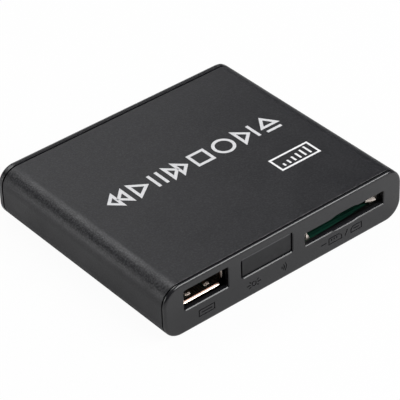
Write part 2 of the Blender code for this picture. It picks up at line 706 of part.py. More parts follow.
def receptacle_insulator():
    """Black block that closes the rear of the shell and carries the tongue."""
    half_width = BUS_INNER_WIDTH / 2 - FIT
    half_height = BUS_INNER_HEIGHT / 2 - FIT
    start = FRONT_Y + BUS_REAR - BUS_BLOCK_LENGTH
    end = FRONT_Y + BUS_REAR
    bm = bmesh.new()
    block(bm, (BUS_X - half_width, start, PORT_Z - half_height),
          (BUS_X + half_width, end, PORT_Z + half_height))
    body = piece("receptacle_insulator", bm, DARK_PLASTIC)

    def tongue(bm):
        block(bm, (BUS_X - TONGUE_HALF_WIDTH, FRONT_Y + BUS_LIP + TONGUE_SETBACK, TONGUE_LOW),
              (BUS_X + TONGUE_HALF_WIDTH, start + EMBED, TONGUE_LOW + TONGUE_THICKNESS))

    def grooves(bm):
        half = BUS_CONTACT_WIDTH / 2 + FIT
        for spread in BUS_CONTACT_SPREADS:
            block(bm, (BUS_X + spread - half, start - EMBED, TONGUE_LOW - 2 * FIT - BUS_CONTACT_METAL),
                  (BUS_X + spread + half, end + OVERRUN, TONGUE_LOW))

    weld(body, tongue, "tongue")
    carve(body, grooves, "grooves")


def receptacle_contacts():
    """Four contact strips under the tongue that bend down to the board behind the shell."""
    top = TONGUE_LOW - FIT
    front = FRONT_Y + BUS_LIP + TONGUE_SETBACK + BUS_CONTACT_SETBACK
    back = FRONT_Y + BUS_REAR + FIT + BUS_CONTACT_METAL
    outline = [
        (front, top),
        (front, top - BUS_CONTACT_METAL),
        (back - BUS_CONTACT_METAL, top - BUS_CONTACT_METAL),
        (back - BUS_CONTACT_METAL, SEAT),
        (back, SEAT),
        (back, top),
    ]
    for number, spread in enumerate(BUS_CONTACT_SPREADS, start=1):
        middle = BUS_X + spread
        bm = bmesh.new()
        prism(bm, outline, "YZ", middle - BUS_CONTACT_WIDTH / 2, middle + BUS_CONTACT_WIDTH / 2)
        piece(f"receptacle_contact_{number}", bm, GOLD_PLATE)


# Details of the card socket
FOOT_LENGTH = 1.9 * MM
FOOT_WIDTH = 1.6 * MM
GUIDE_FOOT_WIDTH = 2.5 * MM
CHANNEL_BLOCK = 1.2 * MM
ARM_BITE = 2.2 * MM
NOTCH_RADIUS = 14.0 * MM
NOTCH_DEPTH = 2.4 * MM
COVER_WINDOW = 3.2 * MM


def contact_xs():
    """Middle of each card contact, spread evenly about the middle of the card."""
    return [CARD_X + (i - (CONTACT_COUNT - 1) / 2) * CONTACT_PITCH for i in range(CONTACT_COUNT)]


def card_socket_base():
    """Low moulding with an arm beside the card's mouth, a slider channel closed in front and an end wall."""
    left = PATH_LEFT + FIT
    start = FRONT_Y + BEHIND_FRONT + ARM_START
    end = FRONT_Y + SOCKET_REAR
    bm = bmesh.new()
    arm_left = PATH_RIGHT - ARM_BITE
    block_left, block_front = CHANNEL_LEFT + FIT, FRONT_Y + SOCKET_FRONT
    arm_front = block_front + FOOT_LENGTH + FIT
    outline = [
        (left, start),
        (arm_left, start),
        (arm_left, arm_front + ARM_BITE / 2),
        (arm_left + ARM_BITE / 2, arm_front),
        (block_left, arm_front),
        (block_left, block_front),
        (BASE_RIGHT, block_front),
        (BASE_RIGHT, end),
        (left, end),
    ]
    prism(bm, outline, "XY", SEAT, FLOOR_TOP)
    base = piece("card_socket_base", bm, DARK_PLASTIC)
    wall_top = COVER_LOW - FIT

    def walls(bm):
        low = FLOOR_TOP - EMBED
        outline = [
            (block_left, block_front),
            (BASE_RIGHT, block_front),
            (BASE_RIGHT, end),
            (left, end),
            (left, FRONT_Y + END_WALL_FRONT),
            (CHANNEL_RIGHT, FRONT_Y + END_WALL_FRONT),
            (CHANNEL_RIGHT, block_front + CHANNEL_BLOCK),
            (block_left, block_front + CHANNEL_BLOCK),
        ]
        prism(bm, outline, "XY", low, wall_top)

    def slots(bm):
        half = CONTACT_WIDTH / 2 + FIT
        for x in contact_xs():
            block(bm, (x - half, end - SOCKET_END_WALL - CONTACT_REACH - FIT, SEAT - OVERRUN),
                  (x + half, end + OVERRUN, FLOOR_TOP))

    weld(base, walls, "walls")
    carve(base, slots, "slots")


def card_socket_shell():
    """Stamped cover: top plate with a thumb notch, side skirts, a guide wall and two solder feet."""
    left = PATH_LEFT - SOCKET_METAL
    front = FRONT_Y + SOCKET_FRONT
    rear = FRONT_Y + SOCKET_REAR
    inner_right = COVER_RIGHT - SOCKET_METAL
    outline = [
        (left, SEAT),
        (PATH_LEFT, SEAT),
        (PATH_LEFT, COVER_LOW),
        (PATH_RIGHT, COVER_LOW),
        (PATH_RIGHT, FLOOR_TOP + FIT),
        (CHANNEL_LEFT, FLOOR_TOP + FIT),
        (CHANNEL_LEFT, COVER_LOW),
        (inner_right, COVER_LOW),
        (inner_right, SEAT),
        (COVER_RIGHT, SEAT),
        (COVER_RIGHT, COVER_TOP),
        (left, COVER_TOP),
    ]
    bm = bmesh.new()
    prism(bm, outline, "XZ", front, rear)
    shell = piece("card_socket_shell", bm, TIN_PLATE)

    def finger_path(bm):
        block(bm, (PATH_RIGHT - EMBED, FRONT_Y + SLIDER_FRONT - FIT, SEAT),
              (CHANNEL_LEFT + EMBED, rear + OVERRUN, COVER_LOW))

    def thumb_notch(bm):
        middle = front + NOTCH_DEPTH - NOTCH_RADIUS
        low, high = COVER_LOW - OVERRUN, COVER_TOP + OVERRUN
        turned(bm, [(0, low), (NOTCH_RADIUS, low), (NOTCH_RADIUS, high), (0, high)],
               (CARD_X, middle), "Z", 8 * ROUND_STEPS)

    def cover_windows(bm):
        for place in (-CARD_WIDTH / 4, CARD_WIDTH / 4):
            outline = rounded(COVER_WINDOW, COVER_WINDOW / 2, COVER_WINDOW / 4,
                              (CARD_X + place, (front + rear) / 2))
            prism(bm, outline, "XY", COVER_LOW - OVERRUN, COVER_TOP + OVERRUN)

    def feet(bm):
        low = SEAT + EMBED / 4
        outline = [
            (left + EMBED / 2, front),
            (PATH_LEFT + FOOT_WIDTH, front),
            (PATH_LEFT + FOOT_WIDTH, front + FOOT_LENGTH / 2),
            (PATH_LEFT + FOOT_WIDTH / 2, front + FOOT_LENGTH),
            (left + EMBED / 2, front + FOOT_LENGTH),
        ]
        prism(bm, outline, "XY", low, low + SOCKET_METAL)
        inner = CHANNEL_LEFT - EMBED / 4
        block(bm, (inner - GUIDE_FOOT_WIDTH, front, low), (inner, front + FOOT_LENGTH, low + SOCKET_METAL))

    def guide_drop(bm):
        block(bm, (PATH_RIGHT, front, SEAT), (CHANNEL_LEFT, front + FOOT_LENGTH, FLOOR_TOP + FIT + EMBED))

    carve(shell, finger_path, "finger_path")
    carve(shell, thumb_notch, "thumb_notch")
    carve(shell, cover_windows, "cover_windows")
    weld(shell, guide_drop, "guide_drop")
    weld(shell, feet, "feet")


def card_contacts():
    """Nine sprung strips that rise out of the floor slots to the pads of the card."""
    root = FRONT_Y + END_WALL_FRONT
    low = SEAT + CONTACT_METAL / 2
    rise = CARD_RISE + SOCKET_FLOOR - CONTACT_METAL
    shares = ((1.0, 0.7), (0.93, 1.0), (0.86, 0.9), (0.5, 0.35), (0.2, 0.04), (0, 0))
    line = [(root - along * CONTACT_REACH, low + up * rise) for along, up in shares]
    line.append((FRONT_Y + SOCKET_REAR + CONTACT_TAIL - FIT, low))
    outline = strip(line, CONTACT_METAL)
    for number, x in enumerate(contact_xs(), start=1):
        bm = bmesh.new()
        prism(bm, outline, "YZ", x - CONTACT_WIDTH / 2, x + CONTACT_WIDTH / 2)
        piece(f"card_contact_{number}", bm, GOLD_PLATE)


def card_slider():
    """Slider beside the card; its finger stops the card's leading edge. Its empty is on the joint."""
    holder = bpy.data.objects.new("slider_joint", None)
    middle_x = (CHANNEL_LEFT + CHANNEL_RIGHT) / 2
    middle_z = (FLOOR_TOP + COVER_LOW) / 2
    holder.location = (middle_x, FRONT_Y + SLIDER_FRONT, middle_z)
    bpy.context.scene.collection.objects.link(holder)
    half_width = CHANNEL_WIDTH / 2 - FIT
    half_height = (COVER_LOW - FLOOR_TOP) / 2 - FIT
    finger_front = FINGER_DEPTH - SLIDER_FRONT
    reach = CHANNEL_WIDTH / 2 + SOCKET_METAL + FINGER_REACH
    outline = [
        (-half_width, 0),
        (half_width, 0),
        (half_width, SLIDER_LENGTH),
        (-half_width, SLIDER_LENGTH),
        (-half_width, finger_front + FINGER_LENGTH),
        (-reach, finger_front + FINGER_LENGTH),
        (-reach, finger_front),
        (-half_width, finger_front),
    ]
    bm = bmesh.new()
    prism(bm, outline, "XY", -half_height, half_height)
    slider = piece("card_slider", bm, DARK_PLASTIC)
    slider.parent = holder


# Details of the spring behind the slider
SPRING_TURNS = 6
SPRING_WIRE = 0.24 * MM
SPRING_POINTS = 10
SPRING_CLEAR = 0.35 * MM


def slider_spring():
    """Compression spring between the slider and the end wall, one unbroken coil of wire."""
    radius = (CHANNEL_WIDTH - SPRING_WIRE) / 2 - SPRING_CLEAR
    start = FRONT_Y + SLIDER_REAR + FIT + SPRING_WIRE / 2
    length = SPRING_ROOM - 2 * FIT - SPRING_WIRE
    middle_x = (CHANNEL_LEFT + CHANNEL_RIGHT) / 2
    middle_z = (FLOOR_TOP + COVER_LOW) / 2
    count = SPRING_TURNS * SPRING_POINTS + 1
    curve = bpy.data.curves.new("slider_spring", "CURVE")
    curve.dimensions = "3D"
    curve.bevel_depth = SPRING_WIRE / 2
    curve.bevel_resolution = 1
    curve.use_fill_caps = True
    spline = curve.splines.new("POLY")
    spline.points.add(count - 1)
    for i, point in enumerate(spline.points):
        angle = 2 * math.pi * i / SPRING_POINTS
        x = middle_x + radius * math.cos(angle)
        z = middle_z + radius * math.sin(angle)
        point.co = (x, start + length * i / (count - 1), z, 1.0)
    material = bpy.data.materials.new("slider_spring_finish")
    material.use_nodes = True
    shader = material.node_tree.nodes["Principled BSDF"]
    colour, roughness, metallic = TIN_PLATE
    shader.inputs["Base Color"].default_value = (*colour, 1.0)
    shader.inputs["Roughness"].default_value = roughness
    shader.inputs["Metallic"].default_value = metallic
    curve.materials.append(material)
    spring = bpy.data.objects.new("slider_spring", curve)
    bpy.context.scene.collection.objects.link(spring)
    least_gap = length / SPRING_TURNS - SPRING_WIRE
    print(f"slider_spring: least gap between turns {least_gap / MM:.2f} mm")


# Parts behind the window
EYE_BEHIND = 0.35 * MM
EYE_RADIUS = 1.9 * MM
EYE_BULGE = 1.2 * MM
EYE_WIDTH = 5.2 * MM
EYE_DEPTH = 3.0 * MM
EYE_ABOVE = 2.0 * MM
LAMP_RADIUS = 1.5 * MM
LAMP_LENGTH = 4.0 * MM
LAMP_COLLAR = 0.35 * MM
LAMP_LEAD = 0.45 * MM
LAMP_LEAD_SPREAD = 0.64 * MM
WINDOW_SHARE = 0.3
BEHIND_WINDOW = BEHIND_FRONT + WINDOW_LIP_DEPTH + EYE_BEHIND


def dome(radius, bulge, front, back):
    """Profile of a rod along Y whose front end is a dome of the given height."""
    points = [(0, front)]
    for step in range(1, ROUND_STEPS // 2 + 1):
        angle = math.pi / 2 * step / (ROUND_STEPS // 2)
        points.append((radius * math.sin(angle), front + bulge * (1 - math.cos(angle))))
    points += [(radius, back), (0, back)]
    return points


def ir_receiver():
    """Remote receiver: a moulded block with a lens facing the window."""
    x = WINDOW_X + WINDOW_SHARE * WINDOW_WIDTH
    front = FRONT_Y + BEHIND_WINDOW + EYE_BULGE
    bm = bmesh.new()
    block(bm, (x - EYE_WIDTH / 2, front, SEAT), (x + EYE_WIDTH / 2, front + EYE_DEPTH, PORT_Z + EYE_ABOVE))
    body = piece("ir_receiver", bm, DARK_PLASTIC)

    def lens(bm):
        turned(bm, dome(EYE_RADIUS, EYE_BULGE, front - EYE_BULGE, front + EYE_DEPTH / 2),
               (x, PORT_Z), "Y", 3 * ROUND_STEPS)

    weld(body, lens, "lens")


def status_led():
    """Round lamp lying behind the window, its two leads bent down to the board."""
    x = WINDOW_X - WINDOW_SHARE * WINDOW_WIDTH
    front = FRONT_Y + BEHIND_WINDOW
    back = front + LAMP_LENGTH
    profile = dome(LAMP_RADIUS, LAMP_RADIUS, front, back)
    collar = LAMP_RADIUS + LAMP_COLLAR
    step = back - LAMP_COLLAR
    profile[-2:] = [(LAMP_RADIUS, step), (collar, step), (collar, back), (0, back)]
    bm = bmesh.new()
    turned(bm, profile, (x, PORT_Z), "Y", 3 * ROUND_STEPS)
    lamp = piece("status_led", bm, CLEAR_RESIN)
    outline = [
        (back - EMBED, PORT_Z + LAMP_LEAD / 2),
        (back - EMBED, PORT_Z - LAMP_LEAD / 2),
        (back + LAMP_LEAD, PORT_Z - LAMP_LEAD / 2),
        (back + LAMP_LEAD, SEAT),
        (back + 2 * LAMP_LEAD, SEAT),
        (back + 2 * LAMP_LEAD, PORT_Z + LAMP_LEAD / 2),
    ]

    def leads(bm):
        for spread in (-LAMP_LEAD_SPREAD, LAMP_LEAD_SPREAD):
            prism(bm, outline, "YZ", x + spread - LAMP_LEAD / 2, x + spread + LAMP_LEAD / 2)

    weld(lamp, leads, "leads")


# Details of the rear sockets
POWER_BORE_DEPTH = 9.0 * MM
POWER_PIN_SETBACK = 1.4 * MM
PIN_SOCKET = 1.2 * MM
SOUND_BORE_DEPTH = 10.0 * MM
FERRULE_EDGE = 0.15 * MM
REAR_SEAT = REAR_Y - BEHIND_REAR


def dc_jack():
    """Power socket: a moulded block with a round snout, and the centre pin in its bore."""
    z = SEAT + POWER_HEIGHT / 2
    snout_end = REAR_Y - SOCKET_SINK
    floor = snout_end - POWER_BORE_DEPTH
    bm = bmesh.new()
    block(bm, (POWER_X - POWER_WIDTH / 2, REAR_SEAT - REAR_SOCKET_LENGTH, SEAT),
          (POWER_X + POWER_WIDTH / 2, REAR_SEAT, SEAT + POWER_HEIGHT))
    body = piece("dc_jack_body", bm, DARK_PLASTIC)

    def snout(bm):
        start = REAR_SEAT - EMBED
        turned(bm, [(0, start), (POWER_SNOUT, start), (POWER_SNOUT, snout_end), (0, snout_end)],
               (POWER_X, z), "Y", 4 * ROUND_STEPS)

    def bore(bm):
        step = POWER_PIN + FIT
        profile = [
            (0, floor - PIN_SOCKET),
            (step, floor - PIN_SOCKET),
            (step, floor),
            (POWER_BORE, floor),
            (POWER_BORE, snout_end + OVERRUN),
            (0, snout_end + OVERRUN),
        ]
        turned(bm, profile, (POWER_X, z), "Y", 3 * ROUND_STEPS)

    weld(body, snout, "snout")
    carve(body, bore, "bore")
    tip = snout_end - POWER_PIN_SETBACK
    start = floor - PIN_SOCKET + FIT
    bm = bmesh.new()
    bevel = POWER_PIN / 2
    profile = [(0, start), (POWER_PIN, start), (POWER_PIN, tip - bevel), (bevel, tip), (0, tip)]
    turned(bm, profile, (POWER_X, z), "Y", 2 * ROUND_STEPS)
    piece("dc_jack_pin", bm, TIN_PLATE)


def video_socket():
    """Folded shell of the video socket, and the block and tongue inside it."""
    mouth_y = REAR_Y - SOCKET_SINK
    back = REAR_SEAT - REAR_SOCKET_LENGTH + SOCKET_END_WALL
    shape = ((mouth_y, VIDEO_METAL), (back, VIDEO_METAL), (back, 0), (mouth_y, 0))
    bm = bmesh.new()
    sleeve_loft(bm, [in_plane(video_outline(grow), "XZ", y) for y, grow in shape])
    shell = piece("video_shell", bm, TIN_PLATE)

    def legs(bm):
        y = FRONT_Y + BODY_DEPTH - VIDEO_LEG_DEPTH
        for side in (-1, 1):
            x = VIDEO_X + side * (VIDEO_WIDTH / 2 + LEG_METAL)
            block(bm, (x - LEG_METAL / 2, y - LEG_WIDTH / 2, BOARD_BOTTOM - LEG_BELOW),
                  (x + LEG_METAL / 2, y + LEG_WIDTH / 2, SEAT + VIDEO_LIFT + VIDEO_HEIGHT))

    weld(shell, legs, "legs")
    middle_z = SEAT + VIDEO_LIFT + VIDEO_METAL + VIDEO_HEIGHT / 2
    block_front = back + BUS_BLOCK_LENGTH
    bm = bmesh.new()
    prism(bm, video_outline(-FIT), "XZ", back, block_front)
    body = piece("video_insulator", bm, DARK_PLASTIC)

    def tongue(bm):
        half = VIDEO_WIDTH / 2 - VIDEO_SLANT
        block(bm, (VIDEO_X - half, block_front - EMBED, middle_z - VIDEO_TONGUE / 2),
              (VIDEO_X + half, mouth_y - TONGUE_SETBACK, middle_z + VIDEO_TONGUE / 2))

    weld(body, tongue, "tongue")


def sound_sockets():
    """Two round sockets: a moulded block with a bore, and a plated ferrule in the panel's hole."""
    z = SEAT + SOUND_HEIGHT / 2
    for name, x in zip(("av_jack", "component_jack"), SOUND_XS):
        bm = bmesh.new()
        block(bm, (x - SOUND_WIDTH / 2, REAR_SEAT - REAR_SOCKET_LENGTH, SEAT),
              (x + SOUND_WIDTH / 2, REAR_SEAT, SEAT + SOUND_HEIGHT))
        body = piece(name + "_body", bm, DARK_PLASTIC)
        floor = REAR_SEAT - SOUND_BORE_DEPTH

        def bore(bm):
            end = REAR_SEAT + OVERRUN
            turned(bm, [(0, floor), (SOUND_BORE, floor), (SOUND_BORE, end), (0, end)],
                   (x, z), "Y", 3 * ROUND_STEPS)

        carve(body, bore, "bore")
        outer = SOUND_BORE + FERRULE_WALL
        start, end = REAR_SEAT + FIT, REAR_Y - SOCKET_SINK
        profile = [
            (SOUND_BORE, start),
            (outer, start),
            (outer, end - FERRULE_EDGE),
            (outer - FERRULE_EDGE, end),
            (SOUND_BORE + FERRULE_EDGE, end),
            (SOUND_BORE, end - FERRULE_EDGE),
        ]
        bm = bmesh.new()
        turned(bm, profile, (x, z), "Y", 4 * ROUND_STEPS)
        piece(name + "_ferrule", bm, TIN_PLATE)


# Parts on the board
CHIP_SIZE = 14.0 * MM
CHIP_HEIGHT = 1.3 * MM
CHIP_DRAFT = 0.15 * MM
CHIP_GAP = 3.0 * MM
MEMORY_WIDTH = 10.2 * MM
MEMORY_LENGTH = 20.0 * MM
MEMORY_HEIGHT = 1.1 * MM
CRYSTAL_WIDTH = 4.5 * MM
CRYSTAL_LENGTH = 10.5 * MM
CRYSTAL_HEIGHT = 3.2 * MM
CRYSTAL_RIM = 0.4 * MM
COIL_SIZE = 6.0 * MM
COIL_HEIGHT = 3.0 * MM
CAPACITOR_RADIUS = 2.5 * MM
CAPACITOR_HEIGHT = 5.8 * MM
CAPACITOR_GROOVE = 0.25 * MM
PART_SPACING = 3.5 * MM
CHIP_DEPTH = (BUS_REAR + SOCKET_REAR) / 2
CHIP_X = PATH_LEFT - SOCKET_METAL - CRYSTAL_WIDTH - 2 * CHIP_GAP - CHIP_SIZE / 2


def package(name, x, depth, width, length, height, corner):
    """Moulded package with drafted sides, standing on the board."""
    shape = ((SEAT, CHIP_DRAFT), (SEAT + height / 2, 0), (SEAT + height, CHIP_DRAFT))
    sections = []
    for z, inset in shape:
        half_width, half_length = width / 2 - inset, length / 2 - inset
        outline = rounded(half_width, half_length, corner, (x, FRONT_Y + depth), ROUND_STEPS // 2)
        sections.append(in_plane(outline, "XY", z))
    bm = bmesh.new()
    loft(bm, sections)
    piece(name, bm, CHIP_RESIN)


def board_parts():
    """Processor, memory, clock crystal and the row of power parts."""
    package("main_chip", CHIP_X, CHIP_DEPTH, CHIP_SIZE, CHIP_SIZE, CHIP_HEIGHT, 2 * CHIP_DRAFT)
    memory_x = CHIP_X - CHIP_SIZE / 2 - CHIP_GAP - MEMORY_WIDTH / 2
    package("memory_chip", memory_x, CHIP_DEPTH, MEMORY_WIDTH, MEMORY_LENGTH, MEMORY_HEIGHT, 2 * CHIP_DRAFT)
    crystal_x = CHIP_X + CHIP_SIZE / 2 + CHIP_GAP + CRYSTAL_WIDTH / 2
    centre = (crystal_x, FRONT_Y + CHIP_DEPTH)
    shape = ((SEAT, 0), (SEAT + CRYSTAL_RIM, 0), (SEAT + CRYSTAL_RIM, CRYSTAL_RIM),
             (SEAT + CRYSTAL_HEIGHT - CRYSTAL_RIM, CRYSTAL_RIM), (SEAT + CRYSTAL_HEIGHT, 2 * CRYSTAL_RIM))
    sections = []
    for z, inset in shape:
        half_width, half_length = CRYSTAL_WIDTH / 2 - inset, CRYSTAL_LENGTH / 2 - inset
        sections.append(in_plane(rounded(half_width, half_length, half_width, centre), "XY", z))
    bm = bmesh.new()
    loft(bm, sections)
    piece("clock_crystal", bm, TIN_PLATE)
    package("power_coil", POWER_X, ROW_MIDDLE, COIL_SIZE, COIL_SIZE, COIL_HEIGHT, COIL_SIZE / 4)
    radius, groove = CAPACITOR_RADIUS, CAPACITOR_GROOVE
    top = SEAT + CAPACITOR_HEIGHT
    profile = [
        (0, SEAT),
        (radius, SEAT),
        (radius, SEAT + 2 * groove),
        (radius - groove, SEAT + 3 * groove),
        (radius, SEAT + 4 * groove),
        (radius, top - groove),
        (radius - groove, top),
        (0, top),
    ]
    x = POWER_X - COIL_SIZE / 2 - PART_SPACING - radius
    for number in (1, 2, 3):
        bm = bmesh.new()
        turned(bm, profile, (x, FRONT_Y + ROW_MIDDLE), "Z", 3 * ROUND_STEPS)
        piece(f"capacitor_{number}", bm, TIN_PLATE)
        x -= 2 * radius + PART_SPACING


def main():
    for old in list(bpy.data.objects):
        bpy.data.objects.remove(old)
    case_sleeve()
    front_panel()
    rear_panel()
    ir_window()
    main_board()
    receptacle_shell()
    receptacle_insulator()
    receptacle_contacts()
    card_socket_base()
    card_socket_shell()
    card_contacts()
    card_slider()
    slider_spring()
    ir_receiver()
    status_led()
    dc_jack()
    video_socket()
    sound_sockets()
    board_parts()
    print(f"case {BODY_WIDTH / MM:.2f} x {BODY_DEPTH / MM:.2f} x {BODY_HEIGHT / MM:.2f} mm")


main()
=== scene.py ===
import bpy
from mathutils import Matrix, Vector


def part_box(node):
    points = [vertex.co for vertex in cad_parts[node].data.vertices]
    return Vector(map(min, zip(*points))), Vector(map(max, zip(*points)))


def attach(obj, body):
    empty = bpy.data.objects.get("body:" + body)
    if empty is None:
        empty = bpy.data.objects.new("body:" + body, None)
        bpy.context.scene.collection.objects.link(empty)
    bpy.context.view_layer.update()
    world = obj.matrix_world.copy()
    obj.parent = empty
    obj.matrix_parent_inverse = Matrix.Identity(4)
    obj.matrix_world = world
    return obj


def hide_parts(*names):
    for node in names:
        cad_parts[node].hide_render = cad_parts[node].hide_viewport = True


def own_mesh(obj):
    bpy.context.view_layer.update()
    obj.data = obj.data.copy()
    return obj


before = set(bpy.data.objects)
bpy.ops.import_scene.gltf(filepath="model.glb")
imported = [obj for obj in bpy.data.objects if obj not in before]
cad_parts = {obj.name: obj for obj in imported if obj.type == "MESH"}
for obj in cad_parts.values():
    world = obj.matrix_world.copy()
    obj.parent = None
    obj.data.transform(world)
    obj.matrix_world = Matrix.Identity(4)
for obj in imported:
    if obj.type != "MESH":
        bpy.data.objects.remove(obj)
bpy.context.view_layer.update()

import math

import bmesh
import bpy
import numpy as np
from mathutils import Matrix

mm = 0.001
bpy.context.scene.view_settings.view_transform = "Standard"


def say(stage):
    print("scene:", stage)


def addObject(name, data):
    made = bpy.data.objects.new(name, data)
    bpy.context.scene.collection.objects.link(made)
    return made


# helpers for materials

mixShare, mixFrom, mixTo, mixOut = 0, 6, 7, 2  # sockets of a Mix node that mixes colours


def linearFromHex(code):
    # sRGB hex such as "3b3c3f" to linear red, green, blue and alpha 1
    channels = [int(code[i:i + 2], 16) / 255 for i in (0, 2, 4)]
    return [c / 12.92 if c <= 0.04045 else ((c + 0.055) / 1.055) ** 2.4 for c in channels] + [1.0]


def newMaterial(name):
    material = bpy.data.materials.new(name)
    material.use_nodes = True
    tree = material.node_tree
    return material, tree, tree.nodes["Principled BSDF"]


def addNode(tree, kind, settings=None, values=None, links=None):
    # one shader node with its properties, the values of its inputs, and what feeds its inputs;
    # a node given as a source stands for its first output
    node = tree.nodes.new("ShaderNode" + kind)
    for name, value in (settings or {}).items():
        setattr(node, name, value)
    for socket, value in (values or {}).items():
        node.inputs[socket].default_value = value
    for socket, source in (links or {}).items():
        output = source.outputs[0] if isinstance(source, bpy.types.Node) else source
        tree.links.new(output, node.inputs[socket])
    return node


def setRamp(node, stops):
    # colour ramp stops as (place, hex)
    ramp = node.color_ramp
    while len(ramp.elements) < len(stops):
        ramp.elements.new(0.5)
    for element, (place, code) in zip(ramp.elements, stops):
        element.position = place
        element.color = linearFromHex(code)


def objectPlace(tree):
    return addNode(tree, "TexCoord").outputs["Object"]


def perMetre(sizeMm):
    # texture scale at which one cell of the pattern is sizeMm across
    return 1.0 / (sizeMm * mm)


def bandAlongY(tree, low, high):
    # 1 between low and high along y, 0 outside them
    y = addNode(tree, "SeparateXYZ", links={"Vector": objectPlace(tree)}).outputs["Y"]
    above = addNode(tree, "Math", {"operation": "GREATER_THAN"}, {1: low}, {0: y})
    below = addNode(tree, "Math", {"operation": "LESS_THAN"}, {1: high}, {0: y})
    return addNode(tree, "Math", {"operation": "MULTIPLY"}, links={0: above, 1: below})


def speckled(name, sizeMm, detail, stops, roughness):
    # the base of the plain materials: tones laid out by a noise whose cells are sizeMm across
    material, tree, shader = newMaterial(name)
    fleck = addNode(tree, "TexNoise", values={"Scale": perMetre(sizeMm), "Detail": detail},
                    links={"Vector": objectPlace(tree)})
    tint = addNode(tree, "ValToRGB", links={"Fac": fleck})
    setRamp(tint, stops)
    shader.inputs["Roughness"].default_value = roughness
    tree.links.new(tint.outputs["Color"], shader.inputs["Base Color"])
    return material, tree, shader, fleck, tint


# camera, from the fit of a rounded box to the outline in the photograph

cameraFit = {
    "place": (-0.28977, -0.36560, 0.35178),
    "back": (-0.498694, -0.628812, 0.596575),
    "right": (0.783509, -0.621380, 0.0),
    "up": (0.370700, 0.467422, 0.802559),
    "rollDegrees": -2.178,
    "lensMm": 197.60,
    "sensorMm": 36.0,
    "nearest": 0.01,
    "farthest": 20,
}


def makeCamera():
    fit = cameraFit
    data = bpy.data.cameras.new("photoCamera")
    data.lens = fit["lensMm"]
    data.sensor_width = fit["sensorMm"]
    data.sensor_fit = "HORIZONTAL"
    data.clip_start = fit["nearest"]
    data.clip_end = fit["farthest"]
    camera = addObject("photoCamera", data)
    roll = math.radians(fit["rollDegrees"])
    levelRight, levelUp, back = (np.array(fit[k]) for k in ("right", "up", "back"))
    right = math.cos(roll) * levelRight + math.sin(roll) * levelUp
    up = -math.sin(roll) * levelRight + math.cos(roll) * levelUp
    turn = Matrix(np.stack([right, up, back], axis=1).tolist())
    camera.matrix_world = Matrix.Translation(fit["place"]) @ turn.to_4x4()
    bpy.context.scene.camera = camera
    say("camera")


# light and floor

studio = {
    "worldStrength": 0.03,
    "floorHex": "d0d0d0",
    "floorRoughness": 0.9,
    "floorGlow": 0.96,
    "floorGlossGlow": 0.2,
    "floorHalf": 3.0,
    "floorCells": 8,
    "floorDrop": 0.01 * mm,  # keeps the floor clear of the underside
    "softboxDistance": 0.5,
}

# degrees round from the rear towards the right, degrees up, width and height in metres, watts
softboxes = {
    "rearOverhead": (0, 58, 0.23, 0.23, 1.22),
    "frontRightOverhead": (146, 46, 0.46, 0.24, 3.10),
    "leftLow": (300, 14, 0.20, 0.20, 0.74),
    "leftOverhead": (333, 44, 0.20, 0.20, 0.17),
    "rearRim": (30, 14, 0.20, 0.20, 0.27),
    "frontRightLow": (150, 14, 0.20, 0.20, 0.12),
}


def makeSoftbox(name, around, up, width, height, power):
    data = bpy.data.lights.new(name, "AREA")
    data.shape = "RECTANGLE"
    data.size, data.size_y = width, height
    data.energy = power
    lamp = addObject(name, data)
    around, up = math.radians(around), math.radians(up)
    level = math.cos(up)
    back = np.array([math.sin(around) * level, math.cos(around) * level, math.sin(up)])
    side = np.cross((0, 0, 1), back)
    side /= np.linalg.norm(side)
    turn = Matrix(np.stack([side, np.cross(back, side), back], axis=1).tolist())
    place = Matrix.Translation((back * studio["softboxDistance"]).tolist())
    lamp.matrix_world = place @ turn.to_4x4()


def glowShare(tree):
    # share of the floor's own glow: most for rays from the camera, less off a gloss or through
    # clear plastic, so that the object's shadow on the floor is still seen in the metal
    path = addNode(tree, "LightPath")
    bent = addNode(tree, "Math", {"operation": "MAXIMUM"},
                   links={0: path.outputs["Is Glossy Ray"], 1: path.outputs["Is Transmission Ray"]})
    dim = addNode(tree, "Math", {"operation": "MULTIPLY"}, {1: studio["floorGlossGlow"]}, {0: bent})
    straight = addNode(tree, "Math", {"operation": "MULTIPLY"}, {1: studio["floorGlow"]},
                       {0: path.outputs["Is Camera Ray"]})
    return addNode(tree, "Math", {"operation": "MAXIMUM"}, links={0: dim, 1: straight})


def makeStudio():
    world = bpy.data.worlds.new("paleStudio")
    bpy.context.scene.world = world
    world.use_nodes = True
    tree = world.node_tree
    tree.nodes.clear()
    white = (1, 1, 1, 1)
    soft = addNode(tree, "Background",
                   values={"Color": white, "Strength": studio["worldStrength"]})
    addNode(tree, "OutputWorld", links={"Surface": soft})
    for name, values in softboxes.items():
        makeSoftbox(name, *values)
    # a flat square grid
    line = np.linspace(-1, 1, studio["floorCells"] + 1) * studio["floorHalf"]
    u, v = np.meshgrid(line, line, indexing="ij")
    floor = gridPiece("paleFloor", np.stack([u, v, np.full_like(u, -studio["floorDrop"])], axis=-1))
    # matt pale paint: even and without a pattern, as a photographer's sweep is
    material, tree, shader = newMaterial("paleFloorPaint")
    shader.inputs["Base Color"].default_value = linearFromHex(studio["floorHex"])
    shader.inputs["Roughness"].default_value = studio["floorRoughness"]
    glow = addNode(tree, "Emission", values={"Color": white, "Strength": 1.0})
    mix = addNode(tree, "MixShader", links={0: glowShare(tree), 1: shader, 2: glow})
    tree.links.new(mix.outputs[0], tree.nodes["Material Output"].inputs["Surface"])
    floor.data.materials.append(material)
    say("studio")


# helpers for numpy surfaces

